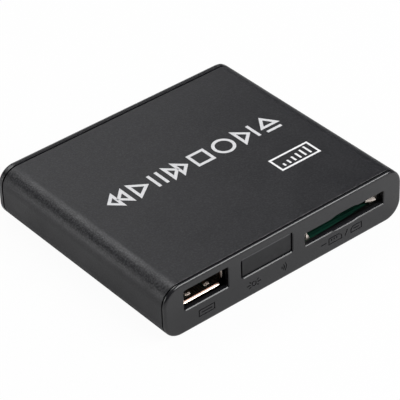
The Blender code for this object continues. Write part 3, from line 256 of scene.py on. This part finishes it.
def gridQuads(rows, columns, closedU=False, closedV=False):
    # cell (i, j) of a grid of points becomes one quad; the last row joins the first where closed
    i = np.arange(rows if closedU else rows - 1)
    j = np.arange(columns if closedV else columns - 1)
    i, j = np.meshgrid(i, j, indexing="ij")
    iNext, jNext = (i + 1) % rows, (j + 1) % columns
    corners = [i * columns + j, iNext * columns + j, iNext * columns + jNext, i * columns + jNext]
    return np.stack(corners, axis=-1).reshape(-1, 4)


def gridPiece(name, points, closedU=False, closedV=False):
    mesh = bpy.data.meshes.new(name)
    quads = gridQuads(*points.shape[:2], closedU, closedV)
    mesh.from_pydata(points.reshape(-1, 3).tolist(), [], quads.tolist())
    return addObject(name, mesh)


def editMesh(mesh, change):
    bm = bmesh.new()
    bm.from_mesh(mesh)
    change(bm)
    bm.to_mesh(mesh)
    bm.free()


def faceOutwards(bm):
    bmesh.ops.recalc_face_normals(bm, faces=bm.faces)


def closeEnds(bm):
    # open ends filled with one face each, then all faces turned outwards
    bmesh.ops.holes_fill(bm, edges=[e for e in bm.edges if e.is_boundary])
    faceOutwards(bm)


def strokeGrid(path, closed, halfWidth, profile):
    # a profile of (share of half width, height) carried along a flat path: each point is the path
    # point plus its mitre times the profile's first number, and the second number is its height;
    # the mitre is the sum of the normals before and after, over one plus their dot product
    path = np.asarray(path, float)
    after = np.roll(path, -1, axis=0) - path
    if not closed:
        after[-1] = after[-2]
    after /= np.linalg.norm(after, axis=1, keepdims=True)
    before = np.roll(after, 1, axis=0)
    if not closed:
        before[0] = after[0]
    normalIn = np.stack([-before[:, 1], before[:, 0]], axis=1)
    normalOut = np.stack([-after[:, 1], after[:, 0]], axis=1)
    mitre = (normalIn + normalOut) / (1 + np.sum(normalIn * normalOut, axis=1, keepdims=True))
    profile = np.asarray(profile, float)
    flat = path[:, None, :] + mitre[:, None, :] * profile[None, :, :1] * halfWidth
    height = np.broadcast_to(profile[None, :, 1:], flat.shape[:2] + (1,))
    return np.concatenate([flat, height], axis=-1)


def strokesPiece(name, strokes, halfWidth, profile, onto):
    # all strokes of a mark as one mesh of closed bodies; onto turns (u, v, height) into x, y, z
    vertices, faces, start = [], [], 0
    for path, closed in strokes:
        grid = strokeGrid(path, closed, halfWidth, profile)
        rows, columns = grid.shape[:2]
        faces += (gridQuads(rows, columns, closed, True) + start).tolist()
        if not closed:
            faces.append((np.arange(columns)[::-1] + start).tolist())
            faces.append((np.arange(columns) + start + (rows - 1) * columns).tolist())
        vertices.append(onto(grid.reshape(-1, 3)))
        start += rows * columns
    mesh = bpy.data.meshes.new(name)
    mesh.from_pydata(np.concatenate(vertices).tolist(), [], faces)
    editMesh(mesh, faceOutwards)
    return addObject(name, mesh)


def circlePath(centre, radius, count=40, start=0.0, sweep=360.0):
    # points evenly round a circle, or along an arc with both ends in it
    steps = count if sweep == 360.0 else count - 1
    angle = np.radians(start + sweep * np.arange(count) / steps)
    return np.stack([centre[0] + radius * np.cos(angle), centre[1] + radius * np.sin(angle)], axis=1)


# screen print on the top: a row of plain transport signs, and a framed level meter

topPrint = {
    "left": -27.7 * mm, "right": 29.6 * mm,
    "low": -0.30 * mm, "high": 6.40 * mm,
    "strokeWidth": 0.92 * mm, "thickness": 0.02 * mm,
    "frameLeft": 15.4 * mm, "frameRight": 28.9 * mm,
    "frameLow": -16.0 * mm, "frameHigh": -10.1 * mm,
    "frameStroke": 0.62 * mm,
    # bars of the level meter, in shares of the frame's width and height
    "bars": 6, "barStart": 0.17, "barStep": 0.132,
    "barFoot": 0.22, "barHeight": 0.20, "barGrowth": 0.075,
}
filmProfile = [(-1, 0.0), (-0.93, 1.0), (0.93, 1.0), (1, 0.0)]


def triangle(tip, back, low=0.0, high=1.0):
    return [(back, low), (tip, (low + high) / 2), (back, high)], True


def bar(x):
    return [(x, 0.0), (x, 1.0)], False


# signs of a tape deck's keys, each a width and its strokes in shares of the sign's height
transportMarks = [
    (1.00, [triangle(0.0, 0.46, 0.06, 0.94), triangle(0.54, 1.0, 0.06, 0.94)]),
    (0.70, [triangle(0.70, 0.0)]),
    (0.44, [bar(0.0), bar(0.44)]),
    (1.00, [triangle(0.46, 0.0, 0.06, 0.94), triangle(1.0, 0.54, 0.06, 0.94)]),
    (0.86, [([(0.0, 0.07), (0.86, 0.07), (0.86, 0.93), (0.0, 0.93)], True)]),
    (1.00, [(circlePath((0.5, 0.5), 0.5), True)]),
    (0.86, [triangle(0.56, 0.0), bar(0.86)]),
    (0.86, [([(0.0, 0.36), (0.86, 0.36), (0.43, 1.0)], True), ([(0.0, 0.0), (0.86, 0.0)], False)]),
]


def topPlane(grid):
    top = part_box("case_sleeve")[1][2]
    return np.stack([grid[:, 0], grid[:, 1], top + grid[:, 2]], axis=1)


def makeTopPrint(titleInk, badgeInk):
    p = topPrint
    film = [(across, up * p["thickness"]) for across, up in filmProfile]
    # the signs stand in a row with even gaps between them
    half = p["strokeWidth"] / 2
    height = p["high"] - p["low"] - p["strokeWidth"]
    widths = [width * height + p["strokeWidth"] for width, _ in transportMarks]
    space = (p["right"] - p["left"] - sum(widths)) / (len(transportMarks) - 1)
    strokes, x = [], p["left"]
    for (_, lines), width in zip(transportMarks, widths):
        corner = np.array([x + half, p["low"] + half])
        strokes += [(corner + height * np.array(line), closed) for line, closed in lines]
        x += width + space
    title = strokesPiece("titlePrint", strokes, half, film, topPlane)
    # the frame, and bars that grow by one step each
    half = p["frameStroke"] / 2
    left, right, low, high = (p[k] for k in ("frameLeft", "frameRight", "frameLow", "frameHigh"))
    strokes = [([(left + half, low + half), (right - half, low + half),
                 (right - half, high - half), (left + half, high - half)], True)]
    for i in range(p["bars"]):
        x = left + (right - left) * (p["barStart"] + p["barStep"] * i)
        foot = low + (high - low) * p["barFoot"]
        tall = (high - low) * (p["barHeight"] + p["barGrowth"] * i)
        strokes.append(([(x, foot), (x, foot + tall)], False))
    badge = strokesPiece("badgePrint", strokes, half, film, topPlane)
    for piece, ink in ((title, titleInk), (badge, badgeInk)):
        piece.data.materials.append(ink)
        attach(piece, "player")
    say("top print")


# copies of frame nodes, with the normals that the real surfaces have

sharpDegrees = 32  # edges that turn more than this stay crisp
weldDistance = 1e-7


def mergedMesh(node):
    # copy of a frame mesh with the imported split points merged
    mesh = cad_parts[node].data.copy()
    editMesh(mesh, lambda bm: bmesh.ops.remove_doubles(bm, verts=bm.verts, dist=weldDistance))
    return mesh


def finishPiece(name, mesh, node, slot, *materials):
    # normals weighted by face area: the rounds blend, the flat faces stay flat
    imported = mesh.attributes.get("custom_normal")
    if imported:
        mesh.attributes.remove(imported)
    mesh.shade_smooth()
    mesh.set_sharp_from_angle(angle=math.radians(sharpDegrees))
    blank = addObject(name + "Blank", mesh)
    modifier = blank.modifiers.new("normals", "WEIGHTED_NORMAL")
    modifier.keep_sharp = True
    modifier.weight = 100  # large faces decide alone
    view = bpy.context.evaluated_depsgraph_get()
    done = bpy.data.meshes.new_from_object(blank.evaluated_get(view))
    bpy.data.objects.remove(blank)
    done.name = name
    done.materials.clear()
    for material in materials:
        done.materials.append(material)
    piece = addObject(name, done)
    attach(piece, "player")
    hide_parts(node)
    say(name)


# sunk marks under the front openings: receptacle, lamp, remote eye and card; lengths in metres,
# and plain numbers are shares of the marks' height

frontMarks = {
    "low": 2.75 * mm, "high": 4.62 * mm,
    "strokeWidth": 0.34 * mm, "depth": 0.20 * mm, "skin": 0.02 * mm,
    "receptacle": (-29.2 * mm, -24.2 * mm), "tongueInset": 0.8 * mm,
    "lamp": (-13.8 * mm, -8.6 * mm), "lampRing": 0.36, "rays": (0.62, 1.25),
    "rayDegrees": 34, "slantedRay": 0.8,
    "eye": (-2.3 * mm, 0.3 * mm), "waves": (0.3, 0.68, 1.06), "waveDegrees": 84,
    "dash": (11.6 * mm, 13.5 * mm),
    "card": (14.4 * mm, 25.8 * mm), "cardWidth": 4.4 * mm, "notch": 0.45,
    "pads": 3, "padPitch": 0.9 * mm, "padEnds": (0.55, 0.22),
    "slashGap": 1.2 * mm, "slashLean": 0.9 * mm, "slashRoom": 2.1 * mm, "stripeInset": 0.9 * mm,
}
cutProfile = [(-1, 2.0), (-1, -0.3), (-0.55, -1.0), (0.55, -1.0), (1, -0.3), (1, 2.0)]

# bevel along the front edge of the thumb relief under the card slot
reliefEdge = {
    "middle": 19.95 * mm, "edge": 6.455 * mm, "flat": 2.6 * mm, "halfWidth": 5.0 * mm,
    "height": 0.25 * mm, "bevel": 0.22 * mm, "points": 9,
}
bevelProfile = [(-2, 1.0), (0, -1.0), (2, 1.0)]


def reliefPath():
    # half a cosine down, a flat, half a cosine up
    r = reliefEdge
    share = np.linspace(0, 1, r["points"])
    x = r["flat"] + share * (r["halfWidth"] - r["flat"])
    z = r["edge"] - r["height"] * (1 + np.cos(np.pi * share)) / 2
    right = np.stack([r["middle"] + x, z], axis=1)
    left = np.stack([r["middle"] - x, z], axis=1)[::-1]
    return np.concatenate([left, right])


def frontPlane(grid):
    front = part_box("front_panel")[0][1]
    return np.stack([grid[:, 0], front - grid[:, 2], grid[:, 1]], axis=1)


def receptacleStrokes(p, low, high, mid):
    # a plug's mouth with its tongue
    left, right = p["receptacle"]
    inset = p["tongueInset"]
    return [([(left, low), (right, low), (right, high), (left, high)], True),
            ([(left + inset, mid), (right - inset, mid)], False)]


def lampStrokes(p, tall, mid):
    # a ring with three rays on each side
    centre = (sum(p["lamp"]) / 2, mid)
    strokes = [(circlePath(centre, p["lampRing"] * tall, 20), True)]
    near, far = p["rays"]
    for side in (-1, 1):
        for turn in (-1, 0, 1):
            angle = math.radians(turn * p["rayDegrees"])
            way = np.array([side * math.cos(angle), math.sin(angle)])
            reach = far * tall * (p["slantedRay"] if turn else 1)
            strokes.append(([centre + way * near * tall, centre + way * reach], False))
    return strokes


def eyeStrokes(p, tall, mid):
    # three waves that spread from a point
    centre, sweep = (p["eye"][0], mid), p["waveDegrees"]
    return [(circlePath(centre, radius * tall, 10, -sweep / 2, sweep), False)
            for radius in p["waves"]]


def cardStrokes(p, low, high, mid):
    # a dash, a notched card with its pads, a slash, and a card seen from its other side
    tall = high - low
    notch = p["notch"] * tall
    left, right = p["card"]
    edge = left + p["cardWidth"]
    strokes = [([(x, mid) for x in p["dash"]], False),
               ([(left, low), (edge, low), (edge, high - notch), (edge - notch, high),
                 (left, high)], True)]
    deep, shallow = p["padEnds"]
    for i in range(p["pads"]):
        x = left + p["padPitch"] * (i + 1)
        strokes.append(([(x, high - deep * tall), (x, high - shallow * tall)], False))
    slash = edge + p["slashGap"]
    strokes.append(([(slash, low), (slash + p["slashLean"], high)], False))
    x = slash + p["slashRoom"]
    strokes.append(([(x, low), (right, low), (right, high), (x + notch, high),
                     (x, high - notch)], True))
    inset = p["stripeInset"]
    strokes.append(([(x + inset, mid), (right - inset, mid)], False))
    return strokes


def frontStrokes():
    p = frontMarks
    low, high = p["low"], p["high"]
    tall, mid = high - low, (low + high) / 2
    return (receptacleStrokes(p, low, high, mid) + lampStrokes(p, tall, mid)
            + eyeStrokes(p, tall, mid) + cardStrokes(p, low, high, mid))


def makeFrontMoulding(plastic, sunk):
    # the panel's own mesh less the marks' strokes and the bevel
    p = frontMarks
    blank = addObject("frontBlank", mergedMesh("front_panel"))
    groove = [(across, up * p["depth"]) for across, up in cutProfile]
    marks = strokesPiece("frontCutter", frontStrokes(), p["strokeWidth"] / 2, groove, frontPlane)
    facet = [(across, up * reliefEdge["bevel"]) for across, up in bevelProfile]
    edge = strokesPiece("edgeCutter", [(reliefPath(), False)], reliefEdge["bevel"], facet,
                        frontPlane)
    for cutter in (marks, edge):
        modifier = blank.modifiers.new(cutter.name, "BOOLEAN")
        modifier.operation = "DIFFERENCE"
        modifier.solver = "EXACT"
        modifier.use_self = True
        modifier.object = cutter
    view = bpy.context.evaluated_depsgraph_get()
    cut = bpy.data.meshes.new_from_object(blank.evaluated_get(view))
    for spare in (blank, marks, edge):
        bpy.data.objects.remove(spare)
    # faces below the skin, at the height of the marks, take the second material, which has painted
    # shade
    centres = np.empty(len(cut.polygons) * 3)
    cut.polygons.foreach_get("center", centres)
    _, y, z = centres.reshape(-1, 3).T
    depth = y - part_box("front_panel")[0][1]
    atMarks = (z > p["low"] - p["strokeWidth"]) & (z < p["high"] + p["strokeWidth"])
    below = atMarks & (depth > p["skin"]) & (depth < 2 * p["depth"])
    cut.polygons.foreach_set("material_index", below.astype(np.int32))
    finishPiece("frontMoulding", cut, "front_panel", "panel_plastic", plastic, sunk)


# lead-in tabs of the card socket cover: the four corners in millimetres, front left, front right,
# back left and back right, and how fast the ramp flattens

leadInTabs = {
    "leftLeadIn": ([(7.95, -33.08, 6.50), (9.25, -33.08, 6.50),
                    (8.85, -32.18, 7.80), (9.05, -32.18, 7.80)], 2.0),
    "rightLeadIn": ([(29.95, -31.95, 6.92), (32.75, -33.0, 6.92),
                     (31.05, -31.35, 7.87), (33.0, -32.3, 7.87)], 1.0),
}
tabSheet = {"thickness": 0.12 * mm, "rows": 7, "columns": 13}


def makeLeadInTabs(metal):
    # a ramp of bent sheet: straight across, its way back grows as a power of its height
    for name, (corners, power) in leadInTabs.items():
        frontLeft, frontRight, backLeft, backRight = np.array(corners) * mm
        u, v = np.meshgrid(np.linspace(0, 1, tabSheet["rows"]),
                           np.linspace(0, 1, tabSheet["columns"]), indexing="ij")
        share = np.stack([v, v ** power, v], axis=-1)
        across = u[..., None]
        low = frontLeft + (frontRight - frontLeft) * across
        high = backLeft + (backRight - backLeft) * across
        top = low + (high - low) * share
        under = top[::-1] - np.array([0, 0, tabSheet["thickness"]])
        piece = gridPiece(name, np.concatenate([top, under]), closedU=True)
        editMesh(piece.data, closeEnds)
        piece.data.materials.append(metal)
        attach(piece, "player")
    say("lead-in tabs")


# spring of the card slider

returnSpring = {
    "turns": 6,
    "wire": 0.24 * mm,
    "endRoom": 1.1,  # wire widths of the box that the two ends of the wire take up
    "pointsPerTurn": 24,
    "pointsRound": 10,
    "sharpDegrees": 60,
    "stroke": 3.5 * mm,  # full travel of the card slider, which the spring gives way by
}


def makeReturnSpring(wireMetal):
    # a helix about the middle of the spring's box, climbing along y; round it a circle of the
    # wire's radius stands on two directions square to the helix: outwards from the axis, and that
    # turned about the line's own direction
    p = returnSpring
    lowest, highest = np.array(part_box("slider_spring"))
    middle, size = (lowest + highest) / 2, highest - lowest
    radius, half = (size[0] - p["wire"]) / 2, p["wire"] / 2
    rise = size[1] - p["wire"] * p["endRoom"]
    share = np.linspace(0, 1, p["turns"] * p["pointsPerTurn"] + 1)
    turn = 2 * math.pi * p["turns"] * share
    cosine, sine, flat = np.cos(turn), np.sin(turn), np.zeros_like(turn)
    pitch = flat + rise / (2 * math.pi * p["turns"] * radius)
    line = middle + np.stack([radius * cosine, rise * (share - 0.5), radius * sine], axis=-1)
    out = np.stack([cosine, flat, sine], axis=-1)
    along = np.stack([-sine, pitch, cosine], axis=-1)
    side = np.cross(along / np.linalg.norm(along, axis=1, keepdims=True), out)
    around = np.linspace(0, 2 * math.pi, p["pointsRound"], endpoint=False)[None, :, None]
    points = line[:, None] + half * (np.cos(around) * out[:, None] + np.sin(around) * side[:, None])
    spring = gridPiece("returnSpring", points, closedV=True)
    editMesh(spring.data, closeEnds)
    spring.data.shade_smooth()
    spring.data.set_sharp_from_angle(angle=math.radians(p["sharpDegrees"]))
    spring.data.materials.append(wireMetal)
    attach(spring, "player")
    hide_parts("slider_spring")
    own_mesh(spring)
    say("return spring")


# case materials, and the painted shade that both have inside the seams

seams = {
    "panelStrip": 0.43 * mm,  # of each panel, next to the sleeve
    "sleeveRim": 0.04 * mm,  # of the sleeve's own ends
    "shadeHex": "161618",
    "glossShare": 0.3,
}


def shadeSeams(tree, shader, tint, gloss, lit):
    # the tint and its gloss where lit is 1, and painted shade where it is 0: a dull near black
    mix = addNode(tree, "Mix", {"data_type": "RGBA"}, {mixFrom: linearFromHex(seams["shadeHex"])},
                  {mixShare: lit, mixTo: tint})
    shine = addNode(tree, "MapRange", links={"Value": lit},
                    values={"To Min": gloss * seams["glossShare"], "To Max": gloss})
    tree.links.new(mix.outputs[mixOut], shader.inputs["Base Color"])
    tree.links.new(shine.outputs[0], shader.inputs["Specular IOR Level"])
    return shine


aluminiumFinish = {
    "grainMm": 0.45, "grainDetail": 3.0, "grainContrast": 0.65, "grainDepth": 0.045 * mm,
    "grainStrength": 0.8,
    "tones": [(0.30, "151618"), (0.52, "1e1e21"), (0.75, "2d2d30")],
    "cloudMm": 9.0, "dullest": 0.50, "sleekest": 0.40,
    "metallic": 0.1, "gloss": 0.34,
    "glint": 0.5, "rubbedGain": 6.3, "rubbedRest": 0.06,
}


def anodisedAluminium():
    # extruded aluminium, bead-blasted and dyed black: satin dark grey, a fine grain that catches
    # light on the rounds. Blasting leaves pits under 0.1 mm, too fine to show in the render, so
    # they are drawn as coarse as grainMm. The dye hides most of the metal, so metallic is low
    f = aluminiumFinish
    material, tree, shader, grain, tint = speckled(
        "anodisedAluminium", f["grainMm"], f["grainDetail"], f["tones"], 0.5)
    grain.inputs["Roughness"].default_value = f["grainContrast"]
    cloud = addNode(tree, "TexNoise", values={"Scale": perMetre(f["cloudMm"]), "Detail": 2.0},
                    links={"Vector": objectPlace(tree)})
    sheen = addNode(tree, "MapRange", links={"Value": cloud},
                    values={"From Min": 0.3, "From Max": 0.7,
                            "To Min": f["sleekest"], "To Max": f["dullest"]})
    bump = addNode(tree, "Bump", links={"Height": grain},
                   values={"Strength": f["grainStrength"], "Distance": f["grainDepth"]})
    shader.inputs["Metallic"].default_value = f["metallic"]
    (_, low, _), (_, high, _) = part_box("case_sleeve")
    # painted shade on the sleeve's own ends, inside the seams
    lit = bandAlongY(tree, low + seams["sleeveRim"], high - seams["sleeveRim"])
    shine = shadeSeams(tree, shader, tint, f["gloss"], lit)
    # handling rubs the long edges: there single pits flash or stay dull. With s the square of the
    # normal's height, the share is the gain times s s (1 - s): most a third of the way round an
    # edge, next to nothing on the flat faces
    normal = addNode(tree, "NewGeometry").outputs["Normal"]
    z = addNode(tree, "SeparateXYZ", links={"Vector": normal}).outputs["Z"]
    square = addNode(tree, "Math", {"operation": "MULTIPLY"}, links={0: z, 1: z})
    rest = addNode(tree, "Math", {"operation": "SUBTRACT"}, {0: 1.0}, {1: square})
    slope = addNode(tree, "Math", {"operation": "MULTIPLY"}, links={0: square, 1: rest})
    upper = addNode(tree, "Math", {"operation": "MULTIPLY"}, links={0: square, 1: slope})
    rubbed = addNode(tree, "Math", {"operation": "MULTIPLY_ADD"},
                     {1: f["rubbedGain"], 2: f["rubbedRest"]}, {0: upper})
    glint = addNode(tree, "MapRange", links={"Value": grain},
                    values={"From Min": 0.38, "From Max": 0.62,
                            "To Min": -f["glint"], "To Max": f["glint"]})
    flash = addNode(tree, "Math", {"operation": "MULTIPLY_ADD"}, {2: 1.0}, {0: glint, 1: rubbed})
    gleam = addNode(tree, "Math", {"operation": "MULTIPLY"}, links={0: shine, 1: flash})
    tree.links.new(gleam.outputs[0], shader.inputs["Specular IOR Level"])
    tree.links.new(sheen.outputs[0], shader.inputs["Roughness"])
    tree.links.new(bump.outputs[0], shader.inputs["Normal"])
    return material


absFinish = {
    "grainMm": 0.30, "grainDepth": 0.012 * mm, "grainStrength": 0.3,
    "tones": [(0.35, "161618"), (0.65, "1e1e21")],
    "roughness": 0.24, "gloss": 0.52,
}


def sparkedAbs():
    # ABS moulded in a spark-eroded tool: even dark grey, low sheen, no direction in the grain
    f = absFinish
    material, tree, shader, grain, tint = speckled(
        "sparkedAbs", f["grainMm"], 2.0, f["tones"], f["roughness"])
    bump = addNode(tree, "Bump", links={"Height": grain},
                   values={"Strength": f["grainStrength"], "Distance": f["grainDepth"]})
    (_, low, _), (_, high, _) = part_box("case_sleeve")
    # painted shade on each panel from its strip next to the sleeve inwards: in the seam and inside
    # the case
    hidden = bandAlongY(tree, low - seams["panelStrip"], high + seams["panelStrip"])
    lit = addNode(tree, "Math", {"operation": "SUBTRACT"}, {0: 1.0}, {1: hidden})
    shadeSeams(tree, shader, tint, f["gloss"], lit)
    tree.links.new(bump.outputs[0], shader.inputs["Normal"])
    return material


def shadedSunkAbs():
    # floors of the sunk marks, left as the engraving tool cut them: rough, and near black with
    # painted shade, darker than the face
    stops = [(0.35, "040404"), (0.65, "0a0a0b")]
    material, _, shader, _, _ = speckled("shadedSunkAbs", 0.15, 2.0, stops, 0.5)
    shader.inputs["Specular IOR Level"].default_value = 0.1
    return material


windowFinish = {
    "hazeMm": 1.6, "tones": [(0.3, "161618"), (0.7, "1c1c1e")], "roughness": 0.34, "gloss": 0.3,
    "shadedRim": 1.12 * mm, "shadedHex": "060607",  # painted shade down the left side, where the gap is in shade
    "highlightRim": 1.10 * mm, "highlightHex": "48484b",  # painted highlight along the top of the insert
}


def smokedPolycarbonate():
    # polycarbonate dyed to pass infra-red only: looks solid, a touch darker and smoother than the
    # panel, with painted shade down the left rim and a painted highlight along the top
    f = windowFinish
    material, tree, shader, _, tint = speckled(
        "smokedPolycarbonate", f["hazeMm"], 1.0, f["tones"], f["roughness"])
    (left, _, _), (_, _, top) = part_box("ir_window")
    # painted shade down the left rim and a painted highlight along the top rim
    axes = addNode(tree, "SeparateXYZ", links={"Vector": objectPlace(tree)})
    shaded = addNode(tree, "Math", {"operation": "LESS_THAN"}, {1: left + f["shadedRim"]},
                     {0: axes.outputs["X"]})
    bright = addNode(tree, "Math", {"operation": "GREATER_THAN"}, {1: top - f["highlightRim"]},
                     {0: axes.outputs["Z"]})
    dark = addNode(tree, "Mix", {"data_type": "RGBA"}, {mixTo: linearFromHex(f["shadedHex"])},
                   {mixShare: shaded, mixFrom: tint})
    rim = addNode(tree, "Mix", {"data_type": "RGBA"}, {mixTo: linearFromHex(f["highlightHex"])},
                  {mixShare: bright, mixFrom: dark.outputs[mixOut]})
    shine = addNode(tree, "MapRange", values={"To Min": f["gloss"], "To Max": 0.0},
                    links={"Value": shaded})
    tree.links.new(shine.outputs[0], shader.inputs["Specular IOR Level"])
    tree.links.new(rim.outputs[mixOut], shader.inputs["Base Color"])
    return material


# metals: colour, colour in the streaks, roughness, and width of the streaks in millimetres

metals = {
    "tinPlatedSteel": ("d8d6d0", "a9a6a0", 0.24, 0.12),  # rolled and dipped: bright, near white
    "flaredTinPlate": ("dacdc2", "aa9c92", 0.24, 0.12),  # the same, warmed by the contacts
    "bentTinPlate": ("b4aca6", "7d7670", 0.52, 0.35),  # the same, with a painted warm reflection of the contacts
    "nickelPlatedBrass": ("cfccc4", "b2aea4", 0.16, 0.3),  # turned and plated: yellowish mirror
    "goldPlatedContact": ("e2bd6a", "b98f3f", 0.22, 0.1),  # stamped and flashed with gold
    "drawnSpringWire": ("b5b4b0", "8a8884", 0.3, 0.05),  # fine lines along the wire
    "drawnCan": ("c9c9cb", "a5a5a8", 0.35, 0.2),  # deep-drawn sheet: satin grey
}
streakStretch = (1, 0.04, 1)  # streaks run along y, 25 times as long as wide
roughnessSpread = (0.7, 1.4)


def rolledMetal(name):
    # sheet or wire drawn through rollers: bright, with fine streaks along y
    colour, dark, roughness, streakMm = metals[name]
    material, tree, shader = newMaterial(name)
    stretch = addNode(tree, "Mapping", values={"Scale": streakStretch},
                      links={"Vector": objectPlace(tree)})
    streak = addNode(tree, "TexNoise", values={"Scale": perMetre(streakMm), "Detail": 3.0},
                     links={"Vector": stretch})
    tint = addNode(tree, "ValToRGB", links={"Fac": streak})
    setRamp(tint, [(0.3, dark), (0.6, colour)])
    sleek, dull = (roughness * share for share in roughnessSpread)
    gloss = addNode(tree, "MapRange", values={"To Min": sleek, "To Max": dull},
                    links={"Value": streak})
    shader.inputs["Metallic"].default_value = 1.0
    tree.links.new(tint.outputs[0], shader.inputs["Base Color"])
    tree.links.new(gloss.outputs[0], shader.inputs["Roughness"])
    return material


receptacleMouth = {"rim": 0.20 * mm, "bend": 0.9 * mm, "bendHex": "5c4a42"}


def flaredTinPlate():
    # tin-plated steel drawn into a flare: a painted warm reflection of the contacts over all of it,
    # and painted shade in dull brown on the bend behind the front rim
    m = receptacleMouth
    material = rolledMetal("flaredTinPlate")
    tree = material.node_tree
    shader = tree.nodes["Principled BSDF"]
    plated = shader.inputs["Base Color"].links[0].from_socket
    (_, mouth, _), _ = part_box("receptacle_shell")
    # painted shade on the bend behind the rim
    bend = bandAlongY(tree, mouth + m["rim"], mouth + m["bend"])
    shadedTone = addNode(tree, "Mix", {"data_type": "RGBA"}, {mixTo: linearFromHex(m["bendHex"])},
                   {mixShare: bend, mixFrom: plated})
    tree.links.new(shadedTone.outputs[mixOut], shader.inputs["Base Color"])
    return material


boardFinish = {
    "trackMm": 6.0, "trackShift": 0.37, "gap": 0.055, "gapBlur": 0.2, "length": 0.9, "pitch": 0.16,
    "mask": ("0a211b", "0b261f"), "overCopper": "12382c", "shadedEdgeHex": "2a2820",
    "frontShadeSlant": -0.06, "frontShadeEdge": 33.96 * mm, "frontShadeHex": "060707",
    "copperStrength": 0.4, "copperHeight": 0.03 * mm,
    "roughness": 0.32,
}


def solderMaskBoard():
    # glass-epoxy laminate under green solder mask: dark green face with lighter copper tracks, edges
    # of straw-coloured laminate darkened with painted shade, and near black painted shade along the
    # front edge, wider towards the right
    f = boardFinish
    material, tree, shader = newMaterial("solderMaskBoard")
    place = objectPlace(tree)
    tracks = addNode(tree, "TexBrick", {"offset": f["trackShift"]},
                     {"Scale": perMetre(f["trackMm"]), "Mortar Size": f["gap"],
                      "Mortar Smooth": f["gapBlur"], "Brick Width": f["length"],
                      "Row Height": f["pitch"], "Color1": linearFromHex(f["mask"][0]),
                      "Color2": linearFromHex(f["mask"][1]),
                      "Mortar": linearFromHex(f["overCopper"])},
                     {"Vector": place})
    # the two faces of the board are where the normal is more upright than level
    normal = addNode(tree, "NewGeometry").outputs["True Normal"]
    up = addNode(tree, "SeparateXYZ", links={"Vector": normal}).outputs["Z"]
    flat = addNode(tree, "Math", {"operation": "ABSOLUTE"}, links={0: up})
    face = addNode(tree, "Math", {"operation": "GREATER_THAN"}, {1: 0.5}, {0: flat})
    # the laminate's straw colour on the edges, darkened with painted shade
    board = addNode(tree, "Mix", {"data_type": "RGBA"}, {mixFrom: linearFromHex(f["shadedEdgeHex"])},
                    {mixShare: face, mixTo: tracks})
    # painted shade where y is below a line that slants with x
    axes = addNode(tree, "SeparateXYZ", links={"Vector": place})
    slant = addNode(tree, "Math", {"operation": "MULTIPLY_ADD"},
                    {1: f["frontShadeSlant"], 2: f["frontShadeEdge"]}, {0: axes.outputs["X"]})
    depth = addNode(tree, "Math", {"operation": "ADD"}, links={0: axes.outputs["Y"], 1: slant})
    frontShaded = addNode(tree, "Math", {"operation": "LESS_THAN"}, {1: 0.0}, {0: depth})
    shadedFront = addNode(tree, "Mix", {"data_type": "RGBA"}, {mixTo: linearFromHex(f["frontShadeHex"])},
                     {mixShare: frontShaded, mixFrom: board.outputs[mixOut]})
    bump = addNode(tree, "Bump", links={"Height": tracks.outputs["Fac"]},
                   values={"Strength": f["copperStrength"], "Distance": f["copperHeight"]})
    shader.inputs["Roughness"].default_value = f["roughness"]
    tree.links.new(shadedFront.outputs[mixOut], shader.inputs["Base Color"])
    tree.links.new(bump.outputs[0], shader.inputs["Normal"])
    return material


def filledNylon():
    # black nylon with glass fibre, moulded: near black, dull, faint pale flecks
    return speckled("filledNylon", 0.25, 4.0, [(0.45, "0e0e0f"), (0.75, "1b1b1d")], 0.55)[0]


def mouldedEpoxy():
    # black epoxy package: matt with a faint speckle of filler
    return speckled("mouldedEpoxy", 0.2, 3.0, [(0.4, "161617"), (0.7, "242426")], 0.65)[0]


def tintedEpoxy():
    # cast lamp epoxy, tinted red: half clear and glossy, uneven in depth of colour
    stops = [(0.3, "8c1810"), (0.7, "c23422")]
    material, _, shader, _, _ = speckled("tintedEpoxy", 3.0, 2.0, stops, 0.12)
    shader.inputs["Transmission Weight"].default_value = 0.5
    return material


def screenInk(name, thin, full):
    # silver-white screen ink, cured: flat and slightly mottled where the mesh laid it
    return speckled(name, 0.5, 2.0, [(0.3, thin), (0.7, full)], 0.5)[0]


def dressNodes(material, *prefixes):
    for name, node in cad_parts.items():
        if name.startswith(prefixes):
            for slot in node.material_slots:
                slot.material = material


def dressFrame(plastic, aluminium):
    dressNodes(aluminium, "case_sleeve")
    dressNodes(plastic, "front_panel", "rear_panel")
    dressNodes(smokedPolycarbonate(), "ir_window")
    dressNodes(solderMaskBoard(), "main_board")
    dressNodes(rolledMetal("tinPlatedSteel"), "card_socket_shell", "video_shell")
    dressNodes(flaredTinPlate(), "receptacle_shell")
    dressNodes(rolledMetal("nickelPlatedBrass"), "av_jack_ferrule", "component_jack_ferrule",
               "dc_jack_pin")
    dressNodes(rolledMetal("goldPlatedContact"), "receptacle_contact", "card_contact")
    dressNodes(rolledMetal("drawnCan"), "clock_crystal", "capacitor")
    dressNodes(filledNylon(), "receptacle_insulator", "card_socket_base", "video_insulator",
               "dc_jack_body", "av_jack_body", "component_jack_body", "card_slider", "ir_receiver")
    dressNodes(mouldedEpoxy(), "main_chip", "memory_chip", "power_coil")
    dressNodes(tintedEpoxy(), "status_led")
    say("frame dressed")


makeCamera()
makeStudio()
plastic = sparkedAbs()
aluminium = anodisedAluminium()
dressFrame(plastic, aluminium)
finishPiece("extrudedSleeve", mergedMesh("case_sleeve"), "case_sleeve", "case_aluminium", aluminium)
finishPiece("rearMoulding", mergedMesh("rear_panel"), "rear_panel", "panel_plastic", plastic)
makeFrontMoulding(plastic, shadedSunkAbs())
makeLeadInTabs(rolledMetal("bentTinPlate"))
makeReturnSpring(rolledMetal("drawnSpringWire"))
makeTopPrint(screenInk("silverScreenInk", "b9b9bb", "cacacc"),
             screenInk("whiteScreenInk", "cdcdcf", "dededf"))
